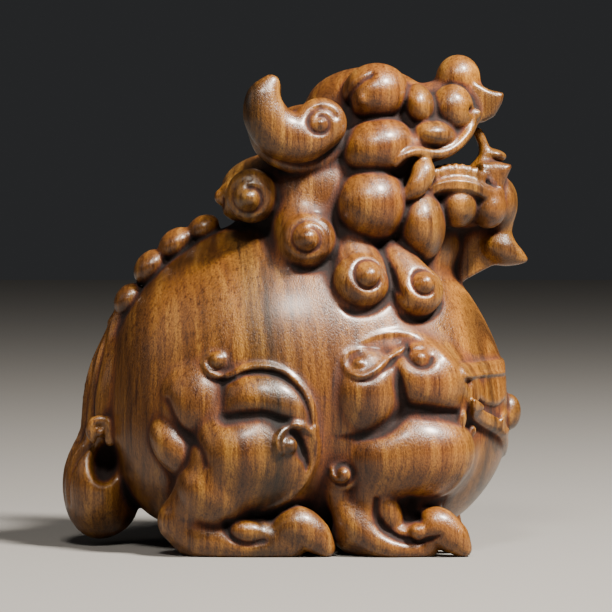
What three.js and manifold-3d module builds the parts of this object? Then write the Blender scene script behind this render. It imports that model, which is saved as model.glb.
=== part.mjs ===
// A palm-sized pixiu, a stout winged-lion of good fortune, carved from one block of hardwood.
// It squats on four paws and looks to +X with its jaws open. +Z is up, +Y is its left side.
// The origin is on the ground under the middle of its length. All sizes are in millimetres.
//
// The forms melt into each other as a carver leaves them, so the figure is worked as a field of
// distances on a grid: each form is a function that gives the distance to its surface, and it is
// joined to the block, or cut out of it, with a rounded seam. One side is carved and mirrored.
// The field is then skinned with triangles, and the flat stretches lose most of theirs.

import * as THREE from "three";
import { mergeVertices } from "three/addons/utils/BufferGeometryUtils.js";
import Module from "manifold-3d";

// Driving sizes of the finished figure.
const height = 80; // soles to the top of the nose
const length = 76; // tail to chin tuft
const width = 56; // across the haunches

// Every place and radius below is drawn on a block close to those sizes. The finished carving is
// fitted from its own box to length, width and height, so its pose and proportions are shares.
const bellyGap = 2.8; // air under the belly
const apronScallop = 7.6; // width of a scallop on the harness's apron
const seam = 1.2; // usual rounding where one form meets the next

const cell = 0.6; // pitch of the field's grid
const triangleBudget = 9600; // triangles left on the finished skin

// Places are [x, h, z]: x forwards, h outwards from the middle plane to either side, z up.
const [X, H, Z] = [0, 1, 2];
const radians = Math.PI / 180;

const add = (a, b) => [a[X] + b[X], a[H] + b[H], a[Z] + b[Z]];
const subtract = (a, b) => [a[X] - b[X], a[H] - b[H], a[Z] - b[Z]];
const scale = (a, s) => [a[X] * s, a[H] * s, a[Z] * s];
const dot = (a, b) => a[X] * b[X] + a[H] * b[H] + a[Z] * b[Z];
const cross = (a, b) => [
  a[H] * b[Z] - a[Z] * b[H],
  a[Z] * b[X] - a[X] * b[Z],
  a[X] * b[H] - a[H] * b[X],
];
const unit = (a) => scale(a, 1 / Math.hypot(...a));
const mix = (a, b, t) => a + (b - a) * t;
const moved = (points, by) => points.map((p) => p.map((v, i) => v + by[i]));
const shares = (count) => Array.from({ length: count }, (_, i) => i / (count - 1));
const flankSide = [0, 1, 0];

// Smaller of two distances, with the corner between them rounded over a width k.
function roundedMin(a, b, k) {
  const near = Math.max(k - Math.abs(a - b), 0) / Math.max(k, 1e-6);
  return Math.min(a, b) - (near * near * k) / 4;
}

// The block of wood: half of it, from the middle plane outwards, as a grid of distances to the
// carved surface, negative inside the wood.
class Block {
  constructor(low, high, pitch) {
    this.low = low;
    this.pitch = pitch;
    this.count = [X, H, Z].map((a) => Math.ceil((high[a] - low[a]) / pitch) + 1);
    this.field = new Float32Array(this.count[X] * this.count[H] * this.count[Z]).fill(50);
  }

  index(i, j, k) {
    return (i * this.count[H] + j) * this.count[Z] + k;
  }

  // Changes the distance at every grid point within reach of a box.
  work(box, reach, change) {
    const first = [X, H, Z].map((a) =>
      Math.max(0, Math.floor((box[0][a] - reach - this.low[a]) / this.pitch)),
    );
    const last = [X, H, Z].map((a) =>
      Math.min(this.count[a] - 1, Math.ceil((box[1][a] + reach - this.low[a]) / this.pitch)),
    );
    for (let i = first[X]; i <= last[X]; i++) {
      const x = this.low[X] + i * this.pitch;
      for (let j = first[H]; j <= last[H]; j++) {
        const h = this.low[H] + j * this.pitch;
        for (let k = first[Z]; k <= last[Z]; k++) {
          const n = this.index(i, j, k);
          this.field[n] = change(this.field[n], x, h, this.low[Z] + k * this.pitch);
        }
      }
    }
  }

  // The distance at any place, between the grid's own.
  at(p) {
    const g = [p[X], Math.abs(p[H]), p[Z]].map((v, a) =>
      THREE.MathUtils.clamp((v - this.low[a]) / this.pitch, 0, this.count[a] - 1.001),
    );
    const c = g.map(Math.floor);
    const t = g.map((v, a) => v - c[a]);
    let sum = 0;
    for (let corner = 0; corner < 8; corner++) {
      const o = [corner & 1, (corner >> 1) & 1, corner >> 2];
      const share = o.reduce((s, bit, a) => s * (bit ? t[a] : 1 - t[a]), 1);
      sum += share * this.field[this.index(c[X] + o[0], c[H] + o[1], c[Z] + o[2])];
    }
    return sum;
  }

  // The way out of the wood at a place, as a unit vector, from the distances half a millimetre off.
  normal(p) {
    const e = 0.5;
    return unit([
      this.at([p[X] + e, p[H], p[Z]]) - this.at([p[X] - e, p[H], p[Z]]),
      this.at([p[X], p[H] + e, p[Z]]) - this.at([p[X], p[H] - e, p[Z]]) + 1e-9,
      this.at([p[X], p[H], p[Z] + e]) - this.at([p[X], p[H], p[Z] - e]),
    ]);
  }

  // The first place where a line from outside meets the wood.
  meet(start, direction) {
    const step = this.pitch * 0.5;
    let before = this.at(start);
    let p = start;
    for (let n = 0; n < 400; n++) {
      const next = add(p, scale(direction, step));
      const now = this.at(next);
      if (now < 0) return add(p, scale(direction, (step * before) / (before - now)));
      [p, before] = [next, now];
    }
    throw new Error(`no wood from ${start} towards ${direction}`);
  }
}

// The block's corners stand clear of the figure on all sides, and under its soles.
const blockLow = [-41, 0, -3];
const blockHigh = [41, 31, 84];
const block = new Block(blockLow, blockHigh, cell);

// Ways of working a form into the block.
const join = (was, d, k) => roundedMin(was, d, k);
const carve = (was, d, k) => -roundedMin(-was, d, k);

// The box round some points, with a margin.
function boxRound(points, margin) {
  return [
    [X, H, Z].map((a) => Math.min(...points.map((p) => p[a])) - margin),
    [X, H, Z].map((a) => Math.max(...points.map((p) => p[a])) + margin),
  ];
}

// Where a line that comes in from one side towards a target meets the wood.
function onto(target, side = flankSide) {
  const place = target.length === 2 ? [target[0], 0, target[1]] : target;
  return block.meet(add(place, scale(unit(side), 30)), scale(unit(side), -1));
}

// Axes on a surface: u leans from +X towards +Z by tilt degrees, v is square to it, n points out.
function axesOn(n, tilt) {
  const along = unit(subtract([1, 0, 0], scale(n, n[X])));
  const up = cross(along, n);
  const [c, s] = [Math.cos(tilt * radians), Math.sin(tilt * radians)];
  return {
    u: add(scale(along, c), scale(up, s)),
    v: add(scale(up, c), scale(along, -s)),
    n,
  };
}

// An egg-shaped mass: an ellipsoid of three radii along u, n and v.
function mass(centre, [ru, rn, rv], { tilt = 0, normal = flankSide, k = seam, how = join } = {}) {
  const { u, v, n } = axesOn(normal, tilt);
  const reach = Math.max(ru, rn, rv);
  block.work(boxRound([centre], reach), k + 2 * cell, (was, x, h, z) => {
    const d = [x - centre[X], h - centre[H], z - centre[Z]];
    const [a, b, c] = [dot(d, u) / ru, dot(d, n) / rn, dot(d, v) / rv];
    const one = Math.hypot(a, b, c);
    const two = Math.hypot(a / ru, b / rn, c / rv);
    return how(was, two > 1e-9 ? (one * (one - 1)) / two : -reach, k);
  });
}

// A swelling on the flank at x, z, standing out from what is there by lift.
function swell([x, z], [ru, rv], lift, { tilt = 0, depth = Math.min(ru, rv), k = 0.8 } = {}) {
  const p = onto([x, z]);
  const n = block.normal(p);
  mass(add(p, scale(n, lift - depth)), [ru, depth, rv], { tilt, normal: n, k });
}

// Points along a smooth curve through the given ones, which have two or three coordinates.
function smoothed(points, steps) {
  const curve = new THREE.CatmullRomCurve3(points.map(([a, b, c = 0]) => new THREE.Vector3(a, b, c)));
  return curve.getPoints(steps).map((p) => [p.x, p.y, p.z].slice(0, points[0].length));
}

// A value at a share t of the way through a list of values.
function along(values, t) {
  const s = t * (values.length - 1);
  const i = Math.min(Math.floor(s), values.length - 2);
  return values.length === 1 ? values[0] : mix(values[i], values[i + 1], s - i);
}

// A limb, lock or groove: round sections of changing radius carried along a line of places. flat
// under 1 squeezes the section along the normal.
function strand(places, radii, { k = seam, how = join, flat = 1, normal = null } = {}) {
  const r = places.map((_, i) => along(radii, i / (places.length - 1)));
  block.work(boxRound(places, Math.max(...r)), k + 2 * cell, (was, x, h, z) => {
    let best = Infinity;
    for (let i = 0; i + 1 < places.length; i++) {
      const a = places[i];
      const e = subtract(places[i + 1], a);
      const w = [x - a[X], h - a[H], z - a[Z]];
      const t = THREE.MathUtils.clamp(dot(w, e) / Math.max(dot(e, e), 1e-9), 0, 1);
      const off = subtract(w, scale(e, t));
      const rise = normal ? dot(off, normal) : 0;
      const reach = Math.sqrt(dot(off, off) + rise * rise * (1 / flat ** 2 - 1));
      best = Math.min(best, (reach - mix(r[i], r[i + 1], t)) * Math.sqrt(flat));
    }
    return how(was, best, k);
  });
}

// How far along [x, z] places the nearest one lies, as a share, and how far off it is.
function nearestOn(places, x, z) {
  let [off, share] = [1e9, 0];
  for (let i = 0; i + 1 < places.length; i++) {
    const [ax, az] = places[i];
    const [ex, ez, wx, wz] = [places[i + 1][0] - ax, places[i + 1][1] - az, x - ax, z - az];
    const t = THREE.MathUtils.clamp((wx * ex + wz * ez) / (ex * ex + ez * ez + 1e-12), 0, 1);
    const d = Math.hypot(wx - ex * t, wz - ez * t);
    if (d < off) [off, share] = [d, (i + t) / (places.length - 1)];
  }
  return { off, share };
}

// A thread or a furrow drawn on the flank. A thread's section is a rounded bump, rise high and wide
// to either side. A furrow's is deep times exp(-distance / wide). Neither is drawn finer than the
// grid can carry, and only what lies further out than start is touched.
function line(points, { rise = 0, deep = 0, wide = 0.8, taper = [1, 1], start = 5 } = {}) {
  const places = points.length > 20 ? points : smoothed(points, 4 * points.length);
  const half = Math.max(wide, deep ? 0.7 * cell : 1.1 * cell);
  const reach = deep ? 4 * half : half;
  const [low, high] = boxRound(places.map(([x, z]) => [x, start + reach, z]), 0);
  high[H] = blockHigh[H];
  const columns = new Map();
  block.work([low, high], reach + cell, (was, x, h, z) => {
    const key = x * 1e4 + z;
    if (!columns.has(key)) {
      const { off, share } = nearestOn(places, x, z);
      const size = along(taper, share);
      const side = off / (half * size);
      const bump = rise * size * Math.max(1 - side * side, 0) ** 0.75;
      columns.set(key, deep ? deep * size * Math.exp(-side) : -bump);
    }
    return was + columns.get(key);
  });
}

// Places that wind in: the radius falls evenly from outer to inner as the angle goes round from
// degree begin, anticlockwise where turns is above 0.
function spiral([x, z], outer, inner, begin, turns, steps = 30) {
  return Array.from({ length: steps + 1 }, (_, i) => {
    const t = i / steps;
    const angle = (begin + 360 * turns * t) * radians;
    const r = mix(outer, inner, t);
    return [x + r * Math.cos(angle), z + r * Math.sin(angle)];
  });
}

// A bead of radius r that stands rise above the flank at [x, z].
function ball(spot, r, rise) {
  const p = onto(spot);
  mass(add(p, scale(block.normal(p), rise - r)), [r, r, r], { k: 0.2 });
}

// A flat shape with [x, z] corners, from one depth to another, its outer edge rounded.
function plate(corners, inner, outer, { k = seam, how = join, edge = 0 } = {}) {
  const places = corners.map(([x, z]) => [x, inner, z]);
  const [low, high] = boxRound(places, 0);
  high[H] = outer;
  block.work([low, high], k + 1 + 2 * cell, (was, x, h, z) => {
    const { off } = nearestOn([...corners, corners[0]], x, z);
    let inside = false;
    corners.forEach(([ax, az], i) => {
      const [bx, bz] = corners[(i + 1) % corners.length];
      if (az > z !== bz > z && x < ax + ((bx - ax) * (z - az)) / (bz - az)) inside = !inside;
    });
    const rim = -roundedMin(inside ? off : -off, outer - h, edge);
    return how(was, Math.max(rim, inner - h), k);
  });
}

// The end of a rolled lock, cut on a rounded form: a slot that winds in round a bead of radius
// size and is deepest where it ends, and the bead, which stands out by a share of its radius.
function curl(target, size, { begin = 100, turns = 0.6, side = flankSide, stand = 0.45 } = {}) {
  const p = onto(target, side);
  const n = unit(add(block.normal(p), unit(side)));
  const { u, v } = axesOn(n, 0);
  const path = spiral([0, 0], size * (1.15 + 0.8 * Math.abs(turns)), size * 1.15, begin, turns);
  const reach = Math.max(size * 0.2 + 0.14, 0.7 * cell);
  block.work(boxRound([p], size * 3), 0, (was, x, h, z) => {
    const d = [x - p[X], h - p[H], z - p[Z]];
    if (dot(d, n) < -size * 1.6) return was;
    const { off, share } = nearestOn(path, dot(d, u), dot(d, v));
    return was + size * along([0.2, 0.5, 0.7, 1, 0.9], share) * Math.exp(-off / reach);
  });
  mass(add(p, scale(n, (stand - 1) * size)), [size, size, size], { k: 0.15 });
}

// The body is a fat egg with a low chest and rump, hollow under the belly so that it stands on its
// paws.
function body() {
  mass([1.5, 0, 25.5], [32, 24, 29], { k: 0 });
  mass([13, 0, 20], [21, 20.5, 18.5], { k: 6 });
  mass([-9, 0, 17], [20, 21, 15.5], { k: 6 });
  const underside = [blockLow, [blockHigh[X], blockHigh[H], 12]];
  block.work(underside, 0, (was, x, h, z) => carve(was, z - bellyGap, 3));
}

// The head: skull, neck and jaws first, then the mouth is cut through the jaws from the side, and
// the tongue stands in it.
function head() {
  mass([13.4, 0, 62], [14.8, 12.4, 14.3], { k: 0 });
  mass([12, 0, 49.5], [15, 12.5, 9], { k: 3 });
  mass([-1.5, 0, 58.4], [10.4, 12, 6.2], { k: 3 });
  mass([4.4, 6.4, 57.4], [9.6, 8.6, 9.6], { k: 3 });
  mass([12, 0, 71.2], [10.4, 9, 7.2], { k: 1.5 });
  mass([22, 0, 69.4], [8.6, 9, 5.6], { k: 1.5 });
  mass([26, 0, 56.6], [9, 8.6, 4.8], { k: 1.5 });
  const mouth = [
    [20.8, 60.2], [21.8, 62.6], [24.4, 63.6], [26.2, 65.2], [27.4, 67.4], [28.6, 69.2], [32, 69.8],
    [36, 69], [36, 62.6], [31, 61.8], [26, 61],
  ];
  plate(mouth, -1, 20, { k: 0.8, how: carve });
  const tongue = [[29.4, 0, 60.5], [31, 0, 63.6], [30.7, 0, 65.6], [29.8, 0, 67.7]];
  for (const h of [0, 1.4]) {
    strand(smoothed(moved(tongue, [0, h, 0]), 12), [1.8, 1.2, 0.8, 0.8], { k: 0.6 });
  }
  mass([32.5, 0, 64.1], [2.1, 2.8, 0.9], { tilt: -14, k: 0.4 });
  mass([31.4, 0, 62.2], [1.8, 3, 1.6], { k: 0.6 });
}

function brow() {
  mass([13.1, 7.6, 74], [5.4, 6.2, 4.9], { tilt: 6, k: 0.4 });
  mass([20, 7.2, 72], [2.6, 5, 3.6], { tilt: 14, k: 0.25 });
  line([[8.8, 71.6], [9, 73.6], [10.4, 75.4], [12.4, 76.8]], { deep: 1, wide: 0.4 });
  ball([10.8, 72.8], 1.1, 0.6);
}

function nose() {
  mass([26.6, 0, 76.6], [3.6, 4.6, 3.8], { k: 0.6 });
  mass([28, 0, 73.8], [2.8, 4.2, 3], { k: 0.8 });
  mass([23.6, 0, 72.8], [4, 5, 3.4]);
  mass([25.4, 5.8, 71.5], [3.5, 4.1, 4], { k: 0.25 });
  mass([29.4, 0, 72.2], [2.5, 4.2, 2.8], { k: 0.6 });
  const tip = [
    [28.6, 76.2], [30.4, 75.3], [31.6, 74.6], [34, 74.1], [33.6, 72.4], [32.4, 70.3], [30.8, 69.4],
    [28.6, 69.4],
  ];
  plate(tip, -1, 4, { k: 0.5, edge: 1 });
  const nostril = [[25.6, 9.4, 75.4], [27.4, 8, 74.2], [29, 6.6, 73], [30.6, 5, 72.4]];
  strand(smoothed(nostril, 12), [0.35, 0.65, 0.6, 0.4], { k: 0.3, how: carve });
  mass([28.5, 7.4, 71.3], [0.7, 1.2, 0.6], { tilt: 30, k: 0.2, how: carve });
  mass([29.4, 5.4, 70.6], [0.9, 0.9, 0.9], { k: 0.3 });
}

function cheeks() {
  mass([13.1, 10, 65.1], [6.4, 6.6, 4.8], { tilt: 18, k: 0.25 });
  mass([21.8, 7.6, 66.8], [4.4, 4.2, 3.2], { k: 0.6 });
  mass([22.1, 8.8, 67.4], [3.5, 4.6, 2.3], { tilt: -4, k: 0.25 });
  mass([12.2, 11.2, 56], [6.2, 7.4, 6.2], { k: 0.25 });
  mass([20.2, 9, 52.7], [4.1, 6.8, 5.9], { tilt: 4, k: 0.25 });
  mass([26.2, 6.8, 55.9], [3.5, 4.3, 3.7], { k: 0.25 });
  mass([31.3, 5, 55.4], [3, 4, 3.4], { k: 0.25 });
  mass([33, 0, 56.4], [3.3, 4.4, 4.3], { k: 0.5 });
}

// The mouth's rims, its teeth and its tusk.
function lips() {
  // upper lip, with the flesh behind it
  const upper = [
    [16.1, 14.9, 62.5], [17.5, 14.9, 63.9], [19.2, 13.7, 64.5], [21.1, 12.2, 64.3],
    [23.2, 11.2, 64.2], [25, 10.2, 64.7], [26.6, 9, 65.9], [27.9, 7.6, 67.5], [28.7, 6.2, 69.4],
    [28.7, 5.4, 70.6],
  ];
  strand(smoothed(moved(upper, [0, -2.6, 1]), 27), [1.5, 1.8, 1.8, 1.5, 1], { k: 0.8 });
  strand(smoothed(upper, 27), [0.55, 0.78, 0.8, 0.75, 0.65], { k: 0.25 });
  strand(
    smoothed(moved(upper.slice(1, 7), [0, 0.35, 1.2]), 20),
    [0.2, 0.35, 0.2],
    { k: 0.2, how: carve },
  );
  // lower lip: a band between two thin rims, with its flared corner in front
  const lower = [
    [21.5, 11.4, 58], [23.6, 11.2, 59], [26.5, 10.8, 59.2], [28.7, 10, 58.8], [30.5, 9, 57.9],
    [32.1, 7.8, 57.3], [33, 6.8, 57.8],
  ];
  strand(smoothed(moved(lower, [0, -1.5, 0]), 28), [1.2, 1.5, 1.5, 1.4, 1], { k: 0.5 });
  for (const rise of [0.5, -0.5]) {
    strand(smoothed(moved(lower, [0, 0, rise]), 28), [0.3, 0.38, 0.38, 0.38, 0.3], { k: 0.2 });
  }
  const corner = [
    [29.6, 62.6], [32.3, 62.9], [35.3, 62.4], [34.2, 60], [33.5, 58.2], [33, 57], [31, 57.6],
    [29.4, 59.4],
  ];
  plate(corner, -1, 6, { k: 0.4, edge: 1.4 });
  line([[30.4, 62.6], [30.9, 61], [31.8, 59.4]], { rise: 0.4, wide: 0.4 });
  // teeth along the lower jaw
  strand([[22, 8.6, 60], [26, 8.2, 60.6], [29.6, 6.8, 60.2]], [1.3, 1.4, 1.3], { k: 0.4 });
  for (const share of shares(7)) {
    const x = 22.6 + 6.6 * share;
    mass(
      [x, 9.9 - 1.6 * share, 60.7 + 0.6 * Math.sin(Math.PI * share)],
      [0.62, 1, 1.5],
      { k: 0.1 },
    );
  }
  // tusk
  const tusk = [[20.4, 11.2, 63.2], [20.6, 12.8, 61.2], [19.6, 13.9, 59], [17, 14.1, 56.7]];
  strand(smoothed(tusk, 14), [1.3, 2, 1.75, 0.5], { k: 0.25 });
}

function chin() {
  strand([[33.4, 0, 54.6], [33.8, 0, 51.4], [33.6, 0, 49.4]], [2.6, 1.6, 2.4], { k: 0.8 });
  strand(
    smoothed([[32.6, 0, 49], [34, 0, 48.2], [36, 0, 47.4], [37.6, 0, 46.8]], 10),
    [2.4, 2.5, 1.5, 0.5],
    { k: 0.6 },
  );
  const beard = [
    [24, 53], [31.6, 52], [33.6, 48.6], [32.4, 46], [29.4, 44.4], [26.6, 42.8], [22, 45],
  ];
  plate(beard, -1, 1, { k: 0.8 });
}

// The ear is a comma that curls round a bead, with a rim under it.
function ear() {
  const comma = [
    [4.2, 14.6, 69], [1, 15.6, 66.8], [-2.4, 16.2, 67.6], [-4.5, 16.8, 70.2], [-4.9, 17, 73],
    [-3.7, 16.8, 75.4],
  ];
  strand(
    smoothed(comma, 20),
    [4.2, 4.1, 4, 3.6, 2.8, 1.5],
    { k: 0.4, flat: 0.8, normal: flankSide },
  );
  const rim = [
    [7.4, 12.6, 65.2], [4, 13.2, 62.9], [-0.6, 13.6, 62.7], [-4.8, 14.2, 65], [-7, 14.6, 69.2],
  ];
  strand(smoothed(rim, 20), [1, 1.5, 1.6, 1.5, 0.9], { k: 0.4 });
  mass([2, 10, 67.6], [6, 5.4, 4.6], { k: 1.5 });
  line(spiral([4.2, 69.1], 2.3, 1.1, 20, 1.25), { deep: 0.7, wide: 0.26, start: 12 });
  ball([4.2, 69.1], 0.8, 0.4);
}

// Behind the jaw hangs a mane of four locks on each side, each rolled at its end.
function mane() {
  strand(
    smoothed([[1.5, 7.2, 58], [1.2, 11, 53.6], [2.2, 14.2, 49.8]], 8),
    [4.4, 4.7, 4.8],
    { k: 2 },
  );
  strand(
    smoothed([[9.6, 7, 54], [8.8, 11.6, 48.8], [10.6, 15.4, 43.7]], 10),
    [3.6, 4.3, 4.9],
    { k: 1 },
  );
  strand(
    smoothed([[15.4, 7.6, 51], [16.2, 12, 46.8], [19.3, 14.9, 42]], 10),
    [2.4, 3.2, 4.3],
    { k: 0.6 },
  );
  for (const [x, h, z, r] of [
    [2.2, 14.6, 50.2, 4.6], [10.5, 15, 43.5, 4.8], [19.4, 14.6, 41.9, 4.4],
  ]) {
    mass([x, h, z], [r, r * 1.05, r], { k: 0.2 });
  }
  line(
    [[14.6, 47.6], [15.2, 45.4], [16.6, 42.4], [19.2, 39.6]],
    { deep: 0.6, wide: 0.6, taper: [0.1, 1, 1, 0.1] },
  );
  mass([-6.8, 12.4, 57.4], [4.1, 4, 4.4], { k: 0.6 });
  curl([2.2, 50.8], 1.65, { begin: -30, turns: 0.9 });
  curl([12, 44.9], 1.6, { begin: -20, turns: 0.9 });
  curl([20.9, 43.6], 1.5, { begin: -40, turns: 0.95 });
  curl([-7.2, 57], 1.6, { begin: 60, turns: 0.8 });
  mass([-9, 5, 57], [3.4, 4, 3.8], { k: 0.6 });
  curl([-10.6, 5, 57.2], 1.4, { side: [-0.85, 0.5, 0], begin: 60, turns: 0.8 });
}

function toe(points, r) {
  strand(smoothed(points, 12), [r * 0.85, r, r * 0.85, r * 0.5], { k: 0.4 });
}

// The legs are folded under it. Each is a heap of plump swellings with sharp creases between them,
// an auspicious scroll drawn over the top, and a foot with curled toes.
function hindLeg() {
  mass([-4.8, 18, 18.4], [12, 8.6, 12.2]);
  strand([[-8.6, 19.6, 16], [-12.6, 20.4, 10.5], [-17.6, 19.2, 6.2]], [7.4, 6.2, 3.7], { k: 2 });
  const foot = [[-18.3, 19.2, 5.2], [-14.5, 19.8, 2.8], [-6, 20.6, 2.4], [-1, 21, 2.2]];
  strand(smoothed(foot, 12), [3.3, 4, 3.8, 3.2], { k: 1 });
  toe([[-2.2, 21.2, 3], [0.6, 21.8, 4.8], [3, 22, 3.4], [4.9, 22, 1.4]], 3.3);
  toe([[-4, 16.4, 3], [-0.8, 16, 4.4], [1.8, 16, 3], [3.6, 16, 1.4]], 3);
  toe([[-5, 12, 2.6], [-2.4, 11.4, 3.8], [0.2, 11.2, 2.6], [2, 11.2, 1.3]], 2.6);
  // rump, buttock, upper thigh and knee
  swell([-16.4, 24.6], [8, 9.2], 1.8, { k: 0.8 });
  swell([-19.2, 17], [5.8, 3.7], 2.2, { tilt: -46, k: 0.4 });
  swell([-3.6, 26.2], [9.2, 6.8], 1.4, { tilt: -14, k: 0.6 });
  swell([-5.2, 15.4], [9.6, 7.6], 0.9, { k: 1.4 });
  line([[-11.2, 28.6], [-11.2, 26], [-11.4, 22.4]], { deep: 0.4, wide: 0.8 });
  line(
    [[-10.6, 22], [-8.2, 22.5], [-4.8, 22.9], [-2.8, 22.2], [-1, 21.4]],
    { deep: 1.2, wide: 0.9 },
  );
  line([[-20, 24.8], [-18, 20.6], [-14.6, 17.4], [-13.8, 15]], { deep: 0.5, wide: 0.7 });
  // side pad in its hollow
  line([[-10.6, 5.6], [-10, 3.4], [-7.6, 2.2], [-4.6, 2.6]], { deep: 0.8, wide: 0.5 });
  swell([-7.6, 4.6], [3, 1.8], 0.9, { tilt: -8, k: 0.3 });
  // scroll over the thigh, curled round a bead at its end
  const scroll = [
    [-13.4, 32.4], [-14.2, 31], [-13.4, 29.5], [-11.4, 28.8], [-9.7, 29.1], [-8, 30], [-6.2, 30.4],
    [-4, 30.4], [-1.6, 29.7], [0.8, 27.8], [2.4, 25.3], [3.1, 22.8], [3.2, 20.6],
  ];
  const shadow = moved(scroll.slice(2), [-0.5, -0.9]);
  line(shadow, { deep: 0.6, wide: 0.35, taper: [0.4, 1, 1, 1, 0.5] });
  line(scroll, { rise: 0.7, wide: 0.66, taper: [0.7, 1, 1, 1, 0.9, 0.8, 0.6] });
  ball([-12, 31.3], 1.45, 1.2);
  // curl on the knee and the slot behind it
  const slot = [[-0.1, 20.2], [0.7, 18.6], [1.4, 16.6], [1.9, 15], [1.8, 13.4]];
  line(slot, { deep: 1.6, wide: 0.55, taper: [0.5, 1, 1, 0.6, 0.1] });
  const knee = [
    [3, 17.4], [3, 19.6], [2, 20.7], [0.8, 21.2], [-0.6, 21.1], [-1.9, 20.2], [-2.5, 18.6],
    [-2.1, 17],
  ];
  line(knee, { rise: 1, wide: 0.8, taper: [0.3, 0.7, 1, 1, 1] });
  ball([-0.7, 18], 1.4, 1.2);
  const roundKnee = [
    [3.4, 20.8], [3.6, 17.6], [3, 14.6], [1.6, 11.8], [-0.4, 9.6], [-3, 8], [-6, 7],
  ];
  line(roundKnee, { rise: 0.5, wide: 0.5, taper: [1, 1, 1, 0.5] });
}

// The front leg has a two-lobed shoulder, a heavy forearm and a foot that rises out of a
// flame-like band.
function frontLeg() {
  mass([17.5, 14.6, 25], [11.6, 8.8, 11]);
  mass([17.8, 13.2, 16.4], [11.4, 10.6, 9.2]);
  strand([[12.5, 17, 12], [12, 18.4, 6]], [6, 5.2], { k: 1.5 });
  strand(
    smoothed([[9.8, 19, 3.8], [14.5, 20, 2.4], [19, 20.4, 2.2]], 10),
    [3.8, 3.8, 3.4],
    { k: 1 },
  );
  toe([[20, 21, 3], [22.4, 21.8, 4.9], [25, 22, 3.2], [26.6, 22, 1.3]], 3.1);
  toe([[17, 15.8, 3.2], [20.4, 15.8, 4.4], [23.2, 15.8, 3.2], [24.8, 15.8, 1.4]], 3);
  toe([[16, 11.2, 2.8], [19, 10.8, 3.8], [21.6, 10.6, 2.8], [23.2, 10.6, 1.3]], 2.6);
  // shoulder: a left swell, a right swell and a big one under both
  swell([11.8, 26.6], [6.2, 7.6], 2.6, { k: 0.6 });
  swell([21.2, 29], [7.6, 6.6], 1.7, { tilt: -12, k: 0.5 });
  swell([18.2, 16.2], [10.8, 7.8], 2, { k: 0.6 });
  swell([11.8, 12.6], [6, 6], 0.6, { tilt: 50, k: 2.4 });
  line(
    [[16.3, 30.4], [16.5, 29], [16.8, 27.4], [17.2, 25.6], [17.6, 24]],
    { deep: 1.1, wide: 0.7, taper: [0.3, 1, 1] },
  );
  const crease = [
    [5.6, 19.2], [8.6, 19.2], [11.6, 19.2], [14.2, 20], [16, 21.4], [17.4, 23.4], [20, 23.7],
    [25.6, 22.6],
  ];
  line(crease, { deep: 1, wide: 0.8, taper: [0.05, 0.5, 1, 1, 1, 1] });
  const under = [[17.2, 9.4], [20.4, 8.7], [23.4, 9.4], [25.8, 11.2], [27, 13.4]];
  line(under, { rise: 0.4, wide: 0.4, taper: [0.4, 1, 1, 0.6] });
  // leaf scroll on the shoulder, curled at its left end, and a small curl under it
  const arch = [
    [9.8, 33.8], [12.8, 35.2], [16, 35.7], [19, 35.3], [21.4, 34.2], [23.6, 32.1], [25.5, 29.8],
    [27.1, 26.8], [28, 24.2], [28.2, 22.6],
  ];
  line(arch, { rise: 0.5, wide: 0.7, taper: [0.5, 1, 1, 0.9, 0.8] });
  const leaf = [
    [12, 32], [10.5, 33.1], [8.5, 32.6], [7.9, 30.8], [9.1, 29.2], [11.2, 29], [13.2, 30.1],
    [15.2, 31.9], [17.6, 33.3], [20.2, 33.7],
  ];
  line(moved(leaf.slice(3), [0.3, -0.7]), { deep: 0.6, wide: 0.3, taper: [0.6, 1, 1, 0.4] });
  line(leaf, { rise: 0.65, wide: 0.62, taper: [0.5, 0.9, 1, 1, 0.6] });
  ball([10.3, 31], 1, 0.6);
  line(
    [[17.9, 33.4], [17.8, 32], [18.7, 30.8], [20, 30.2], [21.3, 30.6], [21.8, 31.6]],
    { deep: 0.9, wide: 0.35 },
  );
  ball([20, 32], 1.3, 0.6);
  swell([26.4, 21.8], [0.95, 1.7], 1, { tilt: -10, k: 0.25 });
  ball([28.1, 19.8], 1, 0.9);
  // curl at the elbow, its band running down into the foot
  const band = [[7.2, 12.4], [7.8, 8.4], [10.4, 4.4], [14.8, 1.8], [21, 1]].map((spot) => onto(spot));
  strand(smoothed(moved(band, [0, -1.4, 0]), 20), [2.4, 2.5, 2.4, 2, 1.6]);
  const elbow = onto([7.9, 13.1]);
  mass(subtract(elbow, [0, 1, 0]), [2.7, 2.8, 2.6], { k: 0.4 });
  curl([8.4, 13.2], 1.05, { begin: 140, turns: 0.55 });
  // flesh between the foot and the belly, behind the toes
  mass([18.6, 16.4, 7.6], [5, 4.4, 3.6], { k: 1 });
  // side toe standing in the bowl of the foot, and a bead beside it
  const bowl = [[13, 9.2], [12.9, 6.6], [14.3, 4.4], [16.8, 2.9], [19.6, 2.6], [23, 3.6]];
  line(bowl, { deep: 1.3, wide: 0.5, taper: [0.6, 1, 1, 1, 0.5] });
  swell([15.8, 6.6], [2, 3.5], 1.2, { tilt: 24, k: 0.3 });
  ball([19.4, 4.2], 1.5, 1.1);
  line([[18.4, 8.8], [18.6, 7], [19.8, 6]], { deep: 1.2, wide: 0.5 });
}

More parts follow.
